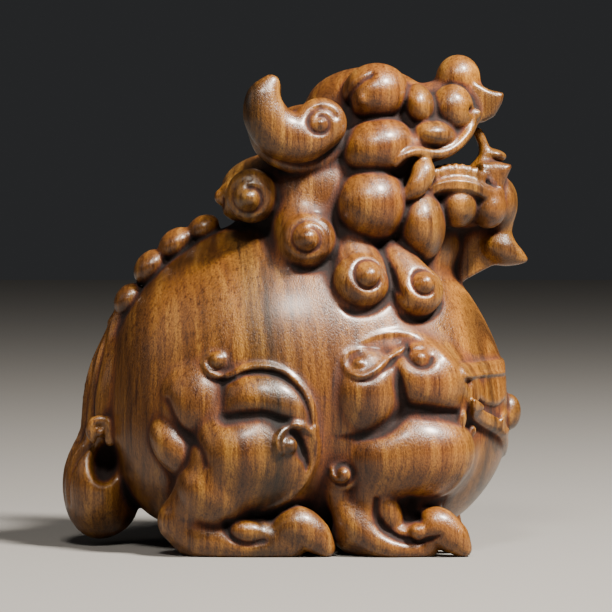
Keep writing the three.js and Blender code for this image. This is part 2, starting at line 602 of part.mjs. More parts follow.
// A thick tail lies up the back, furrowed like combed hair, with a deep hollow on either side.
function tail() {
  const root = [
    [-26.8, 0, 39.5], [-29.8, 0, 33], [-31.4, 0, 26], [-31.6, 0, 19], [-32, 0, 12], [-31, 0, 7],
  ];
  strand(smoothed(root, 20), [1.6, 2.4, 3, 3.4, 5, 5.6], { k: 1 });
  mass([-32, 0, 9.8], [5.8, 8.6, 8.8]);
  mass([-29.8, 0, 23], [3.8, 6.8, 12.5], { tilt: -8 });
  mass([-30.6, 8.8, 14], [2.4, 6.4, 3.6], { how: carve });
  const hook = [
    [-29.8, 7, 17.4], [-29.6, 7.4, 19.4], [-30.8, 7.6, 20.9], [-32.4, 7.6, 20.6], [-33, 7.4, 19],
    [-32.4, 7.2, 17.6],
  ];
  strand(smoothed(hook, 14), [0.8, 0.8, 0.8, 0.6], { k: 0.3 });
  mass([-31.3, 7.4, 18.9], [0.9, 1.3, 0.9], { k: 0.2 });
  strand(smoothed([[-29, 7, 19], [-28, 7, 24], [-27.4, 6.4, 30]], 8), [0.9, 0.9, 0.5], { k: 0.6 });
  for (const h of [0, 2.6, 5.2]) {
    const heights = [[36, 0.2], [30, 0.6], [24, 0.8], [18, 0.9], [12, 1], [7, 0.9]];
    const furrow = heights.map(([z, share]) => onto([-20, h * share, z], [-1, 0, 0]));
    strand(smoothed(furrow, 24), [0.4, 0.6, 0.7, 0.7, 0.4], { k: 0.4, how: carve });
  }
}

// A row of beads runs from the tail over the shoulders.
function spineBeads() {
  const beads = [
    [-27, 40.3, 2.4, 56], [-23.4, 45.6, 2.7, 50], [-19.2, 49.4, 2.7, 38], [-14.8, 52, 2.3, 28],
  ];
  for (const [x, z, r, lean] of beads) {
    mass([x, 0, z], [r * 1.2, r * 1.4, r * 0.9], { tilt: lean, k: 0.3 });
  }
}

// A raised layer on the chest, forward of where it starts: the wood's own surface pushed out by
// lift, between two edges. Each edge is [height, slope with h, depth of its scallops].
function layer(low, high, start, lift, { edge = 0.5 } = {}) {
  const edgeAt = ([level, slope, scallop], h) =>
    level + slope * h - scallop * Math.abs(Math.sin((Math.PI * h) / apronScallop));
  const box = [
    [start - 1, 0, Math.min(low[0], high[0]) - 4],
    [blockHigh[X], 20, Math.max(low[0], high[0]) + 14],
  ];
  block.work(box, 1, (was, x, h, z) => {
    const outside = Math.max(edgeAt(low, h) - z, z - edgeAt(high, h), start - x);
    return join(was, -roundedMin(lift - was, -outside, edge), 0.3);
  });
}

// A harness crosses the chest: a strap, an apron with a scalloped edge that hangs from it, a second
// strap that falls to the middle, and a cloud-shaped clasp with a ring on either side.
function harness() {
  layer([23.9, 0.06, 1.1], [28.3, 0, 0], 28, 0.6);
  layer([28.3, 0, 0], [30.6, 0, 0], 26.4, 0.75, { edge: 0.7 });
  layer([14.4, 0.42, 0], [16.8, 0.42, 0], 28.2, 1.1);
  mass([34.9, 0, 21.8], [2, 2.6, 3], { k: 0.4 });
  const ring = spiral([0, 0], 1, 1, 0, 1).map(([x, z]) => [34.2 + 0.8 * x, 20.4 + 1.6 * z]);
  line(ring, { rise: 0.6, wide: 0.45, start: 1 });
}

const forms = [
  body, head, hindLeg, frontLeg, tail, spineBeads, brow, nose, cheeks, lips, chin, ear, mane, harness,
];
for (const form of forms) form();

// The half and its mirror image in one grid.
function bothSides(b) {
  const half = b.count[H] - 1;
  const count = [b.count[X], 2 * half + 1, b.count[Z]];
  const field = new Float32Array(count[X] * count[H] * count[Z]);
  let n = 0;
  for (let i = 0; i < count[X]; i++) {
    for (let j = -half; j <= half; j++) {
      for (let k = 0; k < count[Z]; k++) field[n++] = b.field[b.index(i, Math.abs(j), k)];
    }
  }
  return { field, count, low: [b.low[X], -half * b.pitch, b.low[Z]], pitch: b.pitch };
}

// Fills or empties the rare corners where two sheets of surface would touch in one cell, which no
// closed skin can follow: of a cell's corners the one that changes sides is the one that leaves
// the fewest such cells, and of those the one nearest the surface.
function settle(grid) {
  const { field, count } = grid;
  const step = [count[H] * count[Z], count[Z], 1];
  const offset = Array.from(
    { length: 8 },
    (_, c) => (c & 1) * step[0] + ((c >> 1) & 1) * step[1] + (c >> 2) * step[2],
  );
  const joined = (mask) => {
    let group = mask & -mask;
    for (let n = 0; n < 8; n++) {
      let grown = group;
      for (let c = 0; c < 8; c++) {
        if ((group >> c) & 1) for (const b of [1, 2, 4]) grown |= 1 << (c ^ b);
      }
      group = grown & mask;
    }
    return group === mask;
  };
  const faces = [];
  for (const a of [0, 1, 2]) {
    for (const side of [0, 1]) {
      const [b, c] = [0, 1, 2].filter((n) => n !== a);
      const base = side << a;
      faces.push([base, base | (1 << b), base | (1 << b) | (1 << c), base | (1 << c)]);
    }
  }
  const sound = Array.from({ length: 256 }, (_, mask) => {
    if (mask === 0 || mask === 255) return true;
    if (!joined(mask) || !joined(255 ^ mask)) return false;
    return faces.every(([a, b, c, d]) => {
      const [wa, wb, wc, wd] = [a, b, c, d].map((n) => (mask >> n) & 1);
      return !(wa === wc && wb === wd && wa !== wb);
    });
  });
  const maskAt = (n) => offset.reduce((mask, o, c) => mask | ((field[n + o] < 0) << c), 0);
  const turn = (m) => (field[m] = field[m] < 0 ? 0.02 * grid.pitch : -0.02 * grid.pitch);
  const ends = count.map((c) => c - 1);
  const passes = 60;
  for (let pass = 0; pass < passes; pass++) {
    let changes = 0;
    for (let i = 1; i < ends[X]; i++) {
      for (let j = 1; j < ends[H]; j++) {
        for (let k = 1; k < ends[Z]; k++) {
          const n = i * step[0] + j * step[1] + k;
          if (sound[maskAt(n)]) continue;
          let [fewest, nearest, chosen] = [Infinity, Infinity, -1];
          for (const m of offset.map((o) => n + o)) {
            const was = field[m];
            turn(m);
            const left = offset.filter((o) => !sound[maskAt(m - o)]).length;
            field[m] = was;
            if (left < fewest || (left === fewest && Math.abs(was) < nearest)) {
              [fewest, nearest, chosen] = [left, Math.abs(was), m];
            }
          }
          turn(chosen);
          changes++;
        }
      }
    }
    if (!changes) return;
  }
  throw new Error("the skin did not settle");
}

// Pockets of air that later forms have shut in become wood: all the air that can't be reached
// from the grid's first corner.
function fillPockets({ field, count, pitch }) {
  const step = [count[H] * count[Z], count[Z], 1];
  const reached = new Uint8Array(field.length);
  const open = [0];
  reached[0] = 1;
  while (open.length) {
    const n = open.pop();
    for (const m of step.flatMap((s) => [n - s, n + s])) {
      if (field[m] >= 0 && !reached[m]) {
        reached[m] = 1;
        open.push(m);
      }
    }
  }
  for (let n = 0; n < field.length; n++) {
    if (field[n] >= 0 && !reached[n]) field[n] = -pitch;
  }
}

// One vertex in each cell that the surface passes through, at the mean of its edge crossings, and
// one four-sided face across each grid edge that the surface cuts.
function skin(grid) {
  const { field, count, low, pitch } = grid;
  const step = [count[H] * count[Z], count[Z], 1];
  const vertexOf = new Int32Array(field.length).fill(-1);
  const places = [];
  const edges = [];
  for (let c = 0; c < 8; c++) {
    for (const a of [0, 1, 2]) if (!((c >> a) & 1)) edges.push([c, c | (1 << a)]);
  }
  const bits = Array.from({ length: 8 }, (_, c) => [c & 1, (c >> 1) & 1, c >> 2]);
  const offset = bits.map((b) => b[0] * step[0] + b[1] * step[1] + b[2]);
  for (let i = 0; i + 1 < count[X]; i++) {
    for (let j = 0; j + 1 < count[H]; j++) {
      for (let k = 0; k + 1 < count[Z]; k++) {
        const n = i * step[0] + j * step[1] + k;
        let inside = 0;
        for (let c = 0; c < 8; c++) if (field[n + offset[c]] < 0) inside++;
        if (inside === 0 || inside === 8) continue;
        const sum = [0, 0, 0];
        let crossings = 0;
        for (const [a, b] of edges) {
          const [fa, fb] = [field[n + offset[a]], field[n + offset[b]]];
          if (fa < 0 === fb < 0) continue;
          const t = fa / (fa - fb);
          for (const axis of [0, 1, 2]) sum[axis] += mix(bits[a][axis], bits[b][axis], t);
          crossings++;
        }
        vertexOf[n] = places.length / 3;
        places.push(
          low[0] + (i + sum[0] / crossings) * pitch,
          low[1] + (j + sum[1] / crossings) * pitch,
          low[2] + (k + sum[2] / crossings) * pitch,
        );
      }
    }
  }
  const faces = [];
  for (const a of [0, 1, 2]) {
    const [b, c] = [(a + 1) % 3, (a + 2) % 3];
    for (let n = 0; n + step[a] < field.length; n++) {
      const [now, next] = [field[n] < 0, field[n + step[a]] < 0];
      if (now === next) continue;
      const ring = [n - step[b] - step[c], n - step[c], n, n - step[b]].map((m) => vertexOf[m]);
      if (ring.some((v) => !(v >= 0))) continue;
      if (next) ring.reverse();
      faces.push(ring[0], ring[1], ring[2], ring[0], ring[2], ring[3]);
    }
  }
  return { places, faces };
}

// Takes triangles away where the surface is flattest until only the budget is left. Each vertex
// keeps the sum of the squared distances to the planes that it has stood for, and the edge whose
// two ends can meet in one point at the least cost goes first.
function thin({ places, faces }, budget) {
  const p = Float64Array.from(places);
  const tri = Int32Array.from(faces);
  const vertices = p.length / 3;
  const around = Array.from({ length: vertices }, () => new Set());
  for (let t = 0; t < tri.length; t += 3) {
    for (let c = 0; c < 3; c++) around[tri[t + c]].add(t);
  }
  const at = (v) => [p[3 * v], p[3 * v + 1], p[3 * v + 2]];
  const facing = (a, b, c) => cross(subtract(b, a), subtract(c, a));

  const q = new Float64Array(vertices * 10);
  for (let t = 0; t < tri.length; t += 3) {
    const a = at(tri[t]);
    const wide = facing(a, at(tri[t + 1]), at(tri[t + 2]));
    const area = Math.hypot(...wide);
    if (area < 1e-12) continue;
    const [x, y, z] = scale(wide, 1 / area);
    const d = -(x * a[0] + y * a[1] + z * a[2]);
    const plane = [x * x, x * y, x * z, x * d, y * y, y * z, y * d, z * z, z * d, d * d];
    for (let c = 0; c < 3; c++) {
      for (let m = 0; m < 10; m++) q[tri[t + c] * 10 + m] += plane[m] * area;
    }
  }

  const errorAt = (s, [x, y, z]) =>
    s[0] * x * x + 2 * s[1] * x * y + 2 * s[2] * x * z + 2 * s[3] * x + s[4] * y * y +
    2 * s[5] * y * z + 2 * s[6] * y + s[7] * z * z + 2 * s[8] * z + s[9];

  // Where two vertices meet at the least cost: the point that solves the summed planes, by
  // Cramer's rule, or else the middle or one of the two.
  function meeting(a, b) {
    const s = Array.from({ length: 10 }, (_, m) => q[a * 10 + m] + q[b * 10 + m]);
    const [pa, pb] = [at(a), at(b)];
    const middle = scale(add(pa, pb), 0.5);
    const [c0, c1, c2] = [[s[0], s[1], s[2]], [s[1], s[4], s[5]], [s[2], s[5], s[7]]];
    const right = [-s[3], -s[6], -s[8]];
    const whole = dot(c0, cross(c1, c2));
    const size = (s[0] + s[4] + s[7]) ** 3;
    let choices = [middle, pa, pb];
    if (Math.abs(whole) > 1e-4 * size) {
      const solved = [
        dot(right, cross(c1, c2)),
        dot(c0, cross(right, c2)),
        dot(c0, cross(c1, right)),
      ].map((d) => d / whole);
      const apart = Math.hypot(...subtract(pa, pb));
      if (Math.hypot(...subtract(solved, middle)) < 2 * apart) choices = [solved];
    }
    const costs = choices.map((c) => errorAt(s, c));
    const least = costs.indexOf(Math.min(...costs));
    return { cost: Math.max(costs[least], 0), place: choices[least] };
  }

  // A heap of edges, the cheapest on top; an edge is stale once either end has changed.
  const heap = [];
  const version = new Int32Array(vertices);
  const swap = (i, j) => ([heap[i], heap[j]] = [heap[j], heap[i]]);
  function push(edge) {
    let i = heap.push(edge) - 1;
    while (i && heap[(i - 1) >> 1].cost > heap[i].cost) {
      swap(i, (i - 1) >> 1);
      i = (i - 1) >> 1;
    }
  }
  function pop() {
    const top = heap[0];
    const last = heap.pop();
    if (heap.length) {
      heap[0] = last;
      for (let i = 0; ; ) {
        const [l, r] = [2 * i + 1, 2 * i + 2];
        let least = i;
        if (l < heap.length && heap[l].cost < heap[least].cost) least = l;
        if (r < heap.length && heap[r].cost < heap[least].cost) least = r;
        if (least === i) break;
        swap(i, least);
        i = least;
      }
    }
    return top;
  }
  const offer = (a, b) => {
    const { cost, place } = meeting(a, b);
    push({ cost, place, a, b, va: version[a], vb: version[b] });
  };
  const neighbours = (v) => {
    const found = new Set();
    for (const t of around[v]) for (let c = 0; c < 3; c++) found.add(tri[t + c]);
    found.delete(v);
    return found;
  };
  for (let v = 0; v < vertices; v++) for (const w of neighbours(v)) if (v < w) offer(v, w);

  // Moving a vertex must turn no face round, nor leave a sliver.
  const staysSound = (v, other, place) => {
    for (const t of around[v]) {
      const corner = [tri[t], tri[t + 1], tri[t + 2]];
      if (corner.includes(other)) continue;
      const was = facing(...corner.map(at));
      const moved = corner.map((c) => (c === v ? place : at(c)));
      const now = facing(...moved);
      const [wasArea, area] = [Math.hypot(...was), Math.hypot(...now)];
      const longest = Math.max(...moved.map((m, i) => Math.hypot(...subtract(m, moved[(i + 1) % 3]))));
      if (dot(was, now) < 0.35 * wasArea * area || area < 0.06 * longest * longest) return false;
    }
    return true;
  };

  let left = tri.length / 3;
  while (left > budget && heap.length) {
    const { a, b, place, va, vb } = pop();
    if (va !== version[a] || vb !== version[b] || !around[a].size || !around[b].size) continue;
    const ringB = neighbours(b);
    const shared = [...neighbours(a)].filter((v) => ringB.has(v));
    if (shared.length !== 2) continue;
    if (!staysSound(a, b, place) || !staysSound(b, a, place)) continue;
    for (const t of [...around[b]]) {
      const corner = [tri[t], tri[t + 1], tri[t + 2]];
      if (corner.includes(a)) {
        for (const c of corner) around[c].delete(t);
        tri[t] = -1;
        left--;
      } else {
        tri[t + corner.indexOf(b)] = a;
        around[a].add(t);
      }
    }
    around[b].clear();
    [p[3 * a], p[3 * a + 1], p[3 * a + 2]] = place;
    for (let m = 0; m < 10; m++) q[a * 10 + m] += q[b * 10 + m];
    version[a]++;
    version[b]++;
    for (const w of neighbours(a)) offer(a, w);
  }
  const kept = [];
  for (let t = 0; t < tri.length; t += 3) if (tri[t] >= 0) kept.push(tri[t], tri[t + 1], tri[t + 2]);
  return { places: p, faces: kept };
}

function geometryOf({ places, faces }) {
  const corners = new Float32Array(faces.length * 3);
  faces.forEach((v, i) => corners.set([places[3 * v], places[3 * v + 1], places[3 * v + 2]], 3 * i));
  return new THREE.BufferGeometry().setAttribute("position", new THREE.BufferAttribute(corners, 3));
}

const wasm = await Module();
wasm.setup();

function solidOf(geometry) {
  const bare = new THREE.BufferGeometry();
  const flat = geometry.index ? geometry.toNonIndexed() : geometry;
  bare.setAttribute("position", flat.getAttribute("position"));
  const merged = mergeVertices(bare, 1e-4);
  return new wasm.Manifold(
    new wasm.Mesh({
      numProp: 3,
      vertProperties: merged.attributes.position.array,
      triVerts: new Uint32Array(merged.index.array),
    }),
  );
}

function geometryFrom(solid) {
  const mesh = solid.getMesh();
  const places = Float32Array.from(mesh.vertProperties);
  return new THREE.BufferGeometry()
    .setAttribute("position", new THREE.BufferAttribute(places, 3))
    .setIndex(new THREE.BufferAttribute(Uint32Array.from(mesh.triVerts), 1));
}

const grid = bothSides(block);
settle(grid);
fillPockets(grid);
const rough = solidOf(geometryOf(thin(skin(grid), triangleBudget)));

// The paws are cut flat on the ground, and the carving is fitted to the driving sizes.
const upwards = [0, 0, 1];
const figure = geometryFrom(rough.trimByPlane(upwards, 0));
figure.computeBoundingBox();
const { min, max } = figure.boundingBox;
figure.translate(-(min.x + max.x) / 2, -(min.y + max.y) / 2, -min.z);
figure.scale(length / (max.x - min.x), width / (max.y - min.y), height / (max.z - min.z));
figure.computeVertexNormals();

const wood = new THREE.MeshStandardMaterial({ color: 0x8a5a2b, roughness: 0.35, metalness: 0 });
const pixiu = new THREE.Mesh(figure, wood);
pixiu.name = "carved_figure";

const carving = new THREE.Group();
carving.add(pixiu);

export default carving;
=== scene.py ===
# %% [markdown]
# A palm-sized pixiu, a stout lion-like beast of good fortune, carved in one piece from hardwood and
# waxed. The CAD model gives its size and place, so its box is noted before anything is added. This
# script carves the same figure again with a finer chisel, gives it its grained wood and lights it
# as a small studio would.
#
# %% Load the frame
import math

import bpy
import numpy as np
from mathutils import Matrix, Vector


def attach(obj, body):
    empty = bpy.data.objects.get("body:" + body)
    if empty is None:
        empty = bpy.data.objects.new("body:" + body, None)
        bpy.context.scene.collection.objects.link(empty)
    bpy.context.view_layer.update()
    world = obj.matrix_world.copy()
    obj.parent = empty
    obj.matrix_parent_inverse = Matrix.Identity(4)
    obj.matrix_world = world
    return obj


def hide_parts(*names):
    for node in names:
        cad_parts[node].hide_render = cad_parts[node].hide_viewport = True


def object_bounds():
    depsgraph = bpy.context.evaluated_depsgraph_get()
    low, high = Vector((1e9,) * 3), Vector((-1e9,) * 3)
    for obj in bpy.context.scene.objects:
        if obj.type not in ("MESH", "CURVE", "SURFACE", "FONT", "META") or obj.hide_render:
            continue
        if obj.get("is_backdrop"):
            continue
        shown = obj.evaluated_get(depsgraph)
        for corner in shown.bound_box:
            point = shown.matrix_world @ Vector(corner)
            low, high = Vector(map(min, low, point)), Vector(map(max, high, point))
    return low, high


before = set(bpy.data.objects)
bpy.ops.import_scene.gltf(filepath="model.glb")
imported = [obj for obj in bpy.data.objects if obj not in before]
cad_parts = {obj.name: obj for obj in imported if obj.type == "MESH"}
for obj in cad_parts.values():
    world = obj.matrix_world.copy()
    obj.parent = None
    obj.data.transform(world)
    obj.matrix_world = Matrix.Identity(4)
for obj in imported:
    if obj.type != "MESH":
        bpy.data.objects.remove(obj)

PER_METRE = 1000.0  # millimetres in a metre: carving is in millimetres, Blender in metres

cad_low, cad_high = (np.array(corner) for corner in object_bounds())
print("CAD box in mm:", np.round(cad_low * PER_METRE, 2), np.round(cad_high * PER_METRE, 2))

# %% [markdown]
# A carver thinks in swelling masses, strands and furrows that melt into each other. They could be
# pushed about by hand in Sculpt Mode, or remeshed from many spheres. Here the block of wood is a
# field instead: a grid of numbers that each say how far that place is from the carved surface,
# negative inside the wood. Whole forms are then added and cut by sums on arrays, and the result is
# always one closed skin. One half is carved, from the middle plane outwards, and mirrored at the
# end. Places are (x, h, z) in millimetres: x forwards, h outwards from the middle plane to either
# side, and z up.
#
# %% The block
PITCH = 0.3  # millimetres between the field's places
BLOCK_LOW = np.array([-41.0, 0.0, -3.0])  # corners of the half block, just outside the figure
BLOCK_HIGH = np.array([41.0, 31.0, 84.0])
EMPTY = 50.0  # the field where there is no wood yet

counts = np.ceil((BLOCK_HIGH - BLOCK_LOW) / PITCH).astype(int) + 1
ticks = [(low + PITCH * np.arange(count)).astype(np.float32) for low, count in zip(BLOCK_LOW, counts)]
field = np.full(counts, EMPTY, np.float32)
cuts = np.zeros(counts, np.float32)  # how deep furrows and slots went at each place
print("places in the half block:", field.size)


def region(low, high, reach):
    """The part of the grid within reach of a box, and its x, h and z as arrays that combine."""
    first = np.maximum(np.floor((np.asarray(low) - reach - BLOCK_LOW) / PITCH).astype(int), 0)
    last = np.minimum(np.ceil((np.asarray(high) + reach - BLOCK_LOW) / PITCH).astype(int) + 1, counts)
    place = tuple(slice(a, b) for a, b in zip(first, last))
    x, h, z = (ticks[axis][place[axis]] for axis in range(3))
    return place, x[:, None, None], h[None, :, None], z[None, None, :]

# %% [markdown]
# A form is joined to the block by taking the smaller of two distances, and cut out of it by taking
# the larger. That alone would leave sharp creases, as a saw does. So where the two are nearly equal
# a little more is taken, which gives the rounded seam that a gouge and sanding leave.
#
# %% Joining and cutting
SEAM = 1.2  # usual rounding where one form meets the next
TINY = 1e-6  # keeps a division from meeting zero


def rounded_min(a, b, seam):
    """The smaller of two distances, less a quarter of the seam times the square of their nearness,
    which is 1 where they are equal and 0 where they differ by the seam or more."""
    near = np.maximum(seam - np.abs(a - b), 0) / max(seam, TINY)
    return np.minimum(a, b) - near * near * seam / 4


def join(was, distance, seam):
    """Wood is added: the smaller distance, with a rounded seam."""
    return rounded_min(was, distance, seam)


def carve(was, distance, seam):
    """Wood is cut away: the larger of the field and the tool's negative, with a rounded seam."""
    return -rounded_min(-was, distance, seam)


print("at a level seam a join adds", SEAM / 4, "mm of wood")

# %% [markdown]
# To lay a form on the surface, one has to find the surface first. A ray is walked in from outside
# and stops where the field turns negative, and the slope of the field there is the way out. Blender
# can cast rays too, but only at a finished mesh, and here there is none yet.
#
# %% Finding the surface
FLANK_SIDE = (0.0, 1.0, 0.0)  # the way from which the flank is seen
RAY_START = 30.0  # millimetres from its target where a ray starts
RAY_LENGTH = 80.0


def sampled(values, low, points):
    """A grid's values at any places, blended from the eight grid places round each by its shares."""
    spot = (points - low) / PITCH
    corner = np.clip(np.floor(spot).astype(int), 0, np.array(values.shape) - 2)
    share = np.clip(spot - corner, 0, 1)
    blend = np.zeros(len(points))
    for bits in np.ndindex(2, 2, 2):
        weight = np.prod(np.where(bits, share, 1 - share), axis=1)
        blend += weight * values[tuple((corner + bits).T)]
    return blend


def at(points):
    """The field at any places on either side of the middle plane."""
    points = np.atleast_2d(points).astype(float)
    points[:, 1] = np.abs(points[:, 1])
    return sampled(field, BLOCK_LOW, points)


def unit(vector):
    """The vector over its length."""
    return np.asarray(vector, float) / np.linalg.norm(vector)


def outward(place):
    """The way out of the wood: the field's slope along each axis, as a unit vector."""
    steps = 0.5 * np.eye(3)  # half a millimetre either way
    never_zero = [0, 1e-9, 0]
    return unit(at(place + steps) - at(place - steps) + never_zero)


def meet(start, direction):
    """The first place where a ray turns from air to wood, between its last two samples."""
    t = np.arange(0, RAY_LENGTH, PITCH / 2)
    values = at(np.asarray(start) + t[:, None] * unit(direction))
    below = np.flatnonzero(values < 0)
    if not len(below) or below[0] == 0:
        raise ValueError(f"no wood from {start} towards {direction}")
    n = below[0]
    back = values[n - 1] / (values[n - 1] - values[n])
    return np.asarray(start) + (t[n - 1] + back * PITCH / 2) * unit(direction)


def onto(target, side=FLANK_SIDE):
    """Where a ray that comes in from one side towards a target meets the wood."""
    place = np.array(target if len(target) == 3 else (target[0], 0, target[1]), float)
    return meet(place + RAY_START * unit(side), -unit(side))


print("rays are walked in steps of", PITCH / 2, "mm")

# %% [markdown]
# Most of the figure is plump swellings: belly, cheeks, knees and toes. A scaled sphere would give
# one of them but not its seams, so each is an ellipsoid in the field. `mass` sets one at a centre,
# and `swell` sinks one in the flank so that only its cap stands out.
#
# %% Plump masses
def axes_on(normal, tilt):
    """Axes on a surface: u leans from +X towards +Z by tilt degrees, v is square to it."""
    flat = unit(np.array([1.0, 0, 0]) - np.asarray(normal) * normal[0])
    up = np.cross(flat, normal)
    c, s = math.cos(math.radians(tilt)), math.sin(math.radians(tilt))
    return flat * c + up * s, up * c - flat * s


def mass(centre, radii, tilt=0, normal=FLANK_SIDE, seam=SEAM, how=join):
    """An ellipsoid with radii along u, n and v. Its measure q is 1 on the surface, and the distance
    is taken as q (q - 1) over the length of its gradient."""
    u, v = axes_on(normal, tilt)
    place, x, h, z = region(centre, centre, max(radii) + seam + 2 * PITCH)
    d = (x - centre[0], h - centre[1], z - centre[2])
    parts = [
        (d[0] * axis[0] + d[1] * axis[1] + d[2] * axis[2]) / radius
        for axis, radius in zip((u, normal, v), radii)
    ]
    q = np.sqrt(sum(part**2 for part in parts))
    slope = np.sqrt(sum((part / radius) ** 2 for part, radius in zip(parts, radii)))
    distance = np.where(slope > TINY, q / np.maximum(slope, TINY), min(radii)) * (q - 1)
    field[place] = how(field[place], distance, seam)


def swell(spot, radii, lift, tilt=0, seam=0.8):
    """An ellipsoid sunk in the flank at (x, z), with its top lift above what is there."""
    depth = min(radii)
    p = onto(spot)
    n = outward(p)
    mass(p + n * (lift - depth), (radii[0], depth, radii[1]), tilt=tilt, normal=n, seam=seam)


print("axes on the flank:", *axes_on(FLANK_SIDE, 0))

# %% [markdown]
# Limbs, lips, locks and tail are long forms that swell and taper. A bevelled curve could make one,
# but it would only pass through the body. As round sections carried along a path in the field, it
# melts into what it leaves, and the same tool with `carve` hollows a channel.
#
# %% Strands
def smoothed(points, steps):
    """A curve through the points: each stretch is a cubic whose slopes weigh its neighbours'
    by the square root of their distances, so that it neither overshoots nor loops."""
    points = np.asarray(points, float)
    ends = [2 * points[0] - points[1], *points, 2 * points[-1] - points[-2]]
    p = np.array(ends)
    share = np.arange(steps + 1) / steps * (len(points) - 1)
    i = np.minimum(share.astype(int), len(points) - 2)
    w = (share - i)[:, None]
    p0, p1, p2, p3 = p[i], p[i + 1], p[i + 2], p[i + 3]
    d0, d1, d2 = (np.sqrt(np.linalg.norm(b - a, axis=1))[:, None] for a, b in ((p0, p1), (p1, p2), (p2, p3)))
    s1 = ((p1 - p0) / d0 - (p2 - p0) / (d0 + d1) + (p2 - p1) / d1) * d1
    s2 = ((p2 - p1) / d1 - (p3 - p1) / (d1 + d2) + (p3 - p2) / d2) * d1
    return p1 + s1 * w + (3 * p2 - 3 * p1 - 2 * s1 - s2) * w**2 + (2 * p1 - 2 * p2 + s1 + s2) * w**3


def along(values, share):
    """The value at a share of the way through a list of values, by straight lines."""
    return np.interp(share, np.linspace(0, 1, len(values)), values)


def strand(path, radii, seam=SEAM, how=join, flat=1.0):
    """Round sections carried along a path: the least distance to any stretch, less its radius.
    flat under 1 squeezes the section along h."""
    path = np.asarray(path, float)
    r = along(radii, np.linspace(0, 1, len(path)))
    place, x, h, z = region(path.min(0), path.max(0), r.max() + seam + 2 * PITCH)
    best = np.inf
    for a, b, ra, rb in zip(path, path[1:], r, r[1:]):
        e = b - a
        w = (x - a[0], h - a[1], z - a[2])
        t = np.clip((w[0] * e[0] + w[1] * e[1] + w[2] * e[2]) / max(e @ e, TINY), 0, 1)
        off = [w[n] - e[n] * t for n in range(3)]
        square = off[0] ** 2 + off[1] ** 2 + off[2] ** 2 + off[1] ** 2 * (1 / flat**2 - 1)
        distance = (np.sqrt(square) - (ra + (rb - ra) * t)) * math.sqrt(flat)
        best = np.minimum(best, distance)
    field[place] = how(field[place], best, seam)


print("halfway along radii 1, 4 and 2:", float(along([1, 4, 2], 0.5)))

# %% [markdown]
# Fine work is drawn on the flank as with a parting tool: raised threads, and furrows that are sharp
# at the bottom. Displacement could fake it. Adding to the field along a flat path gives it true
# depth on whatever surface lies there. `cuts` remembers the furrows, so that shade can be painted
# into them.
#
# %% Threads and furrows
FEW = 20  # a path of more places than this is smooth already
SPIRAL_STEPS = 30


def nearest_on(path, x, z):
    """How far off the nearest place of a flat path is, and what share of the way along it lies."""
    off = share = None
    for n, (a, b) in enumerate(zip(path, path[1:])):
        e = b - a
        t = np.clip(((x - a[0]) * e[0] + (z - a[1]) * e[1]) / (e @ e + 1e-12), 0, 1)
        d = np.hypot(x - a[0] - e[0] * t, z - a[1] - e[1] * t)
        s = (n + t) / (len(path) - 1)
        off, share = (d, s) if off is None else (np.minimum(off, d), np.where(d < off, s, share))
    return off, share


def line(points, wide, rise=0.0, deep=0.0, taper=(1, 1), start=5.0):
    """A thread or a furrow drawn on the flank. A thread's section is a rounded bump, rise high and
    wide to either side. A furrow's is deep times exp(-distance / wide): sharp at the bottom, with
    soft shoulders. Only what lies further out than start is touched."""
    path = np.asarray(points, float)
    path = path if len(path) > FEW else smoothed(path, 4 * len(path))
    reach = 4 * wide if deep else wide
    low, high = path.min(0), path.max(0)
    place, x, _, z = region((low[0], start + reach, low[1]), (high[0], BLOCK_HIGH[1], high[1]), reach + PITCH)
    off, share = nearest_on(path, x[:, :, 0], z[0])
    size = along(taper, share)
    side = off / np.maximum(wide * size, TINY)
    change = deep * size * np.exp(-side) if deep else -rise * size * np.maximum(1 - side**2, 0) ** 0.75
    field[place] += change[:, None, :]
    cuts[place] = np.maximum(cuts[place], change[:, None, :])


def spiral(centre, outer, inner, begin, turns):
    """Places that wind in: the radius falls evenly from outer to inner as the angle goes round."""
    t = np.linspace(0, 1, SPIRAL_STEPS + 1)
    angle = np.radians(begin + 360 * turns * t)
    r = outer + (inner - outer) * t
    return np.stack([centre[0] + r * np.cos(angle), centre[1] + r * np.sin(angle)], axis=1)


print("a spiral of one turn has", len(spiral((0, 0), 2, 1, 0, 1)), "places")

# %% [markdown]
# Three more tools: `ball` sets a bead on the flank, `plate` a flat shape with an outline, and `curl`
# rolls the end of a lock. On the real figure a roll is one slot that winds in round a bead, so the
# slot is cut first and the bead set in its middle, which is quicker than modelling a rolled strip.
#
# %% Beads, plates and rolled ends
BEAD_SEAM = 0.2
# These five are in radii of the bead in the middle of a rolled end.
BEAD_ROOM = 1.15  # from the middle to the slot's inner end
TURN_ROOM = 0.8  # how much a turn winds out
SLOT_DEPTH = 0.7  # where the slot is deepest
SLOT_UNDER = 1.6  # how far under the surface it may cut
ROLL_REACH = 3  # from the middle to the edge of what is touched


def ball(spot, r, rise):
    """A bead of radius r that stands rise above the flank at (x, z)."""
    p = onto(spot)
    mass(p + outward(p) * (rise - r), (r, r, r), seam=BEAD_SEAM)


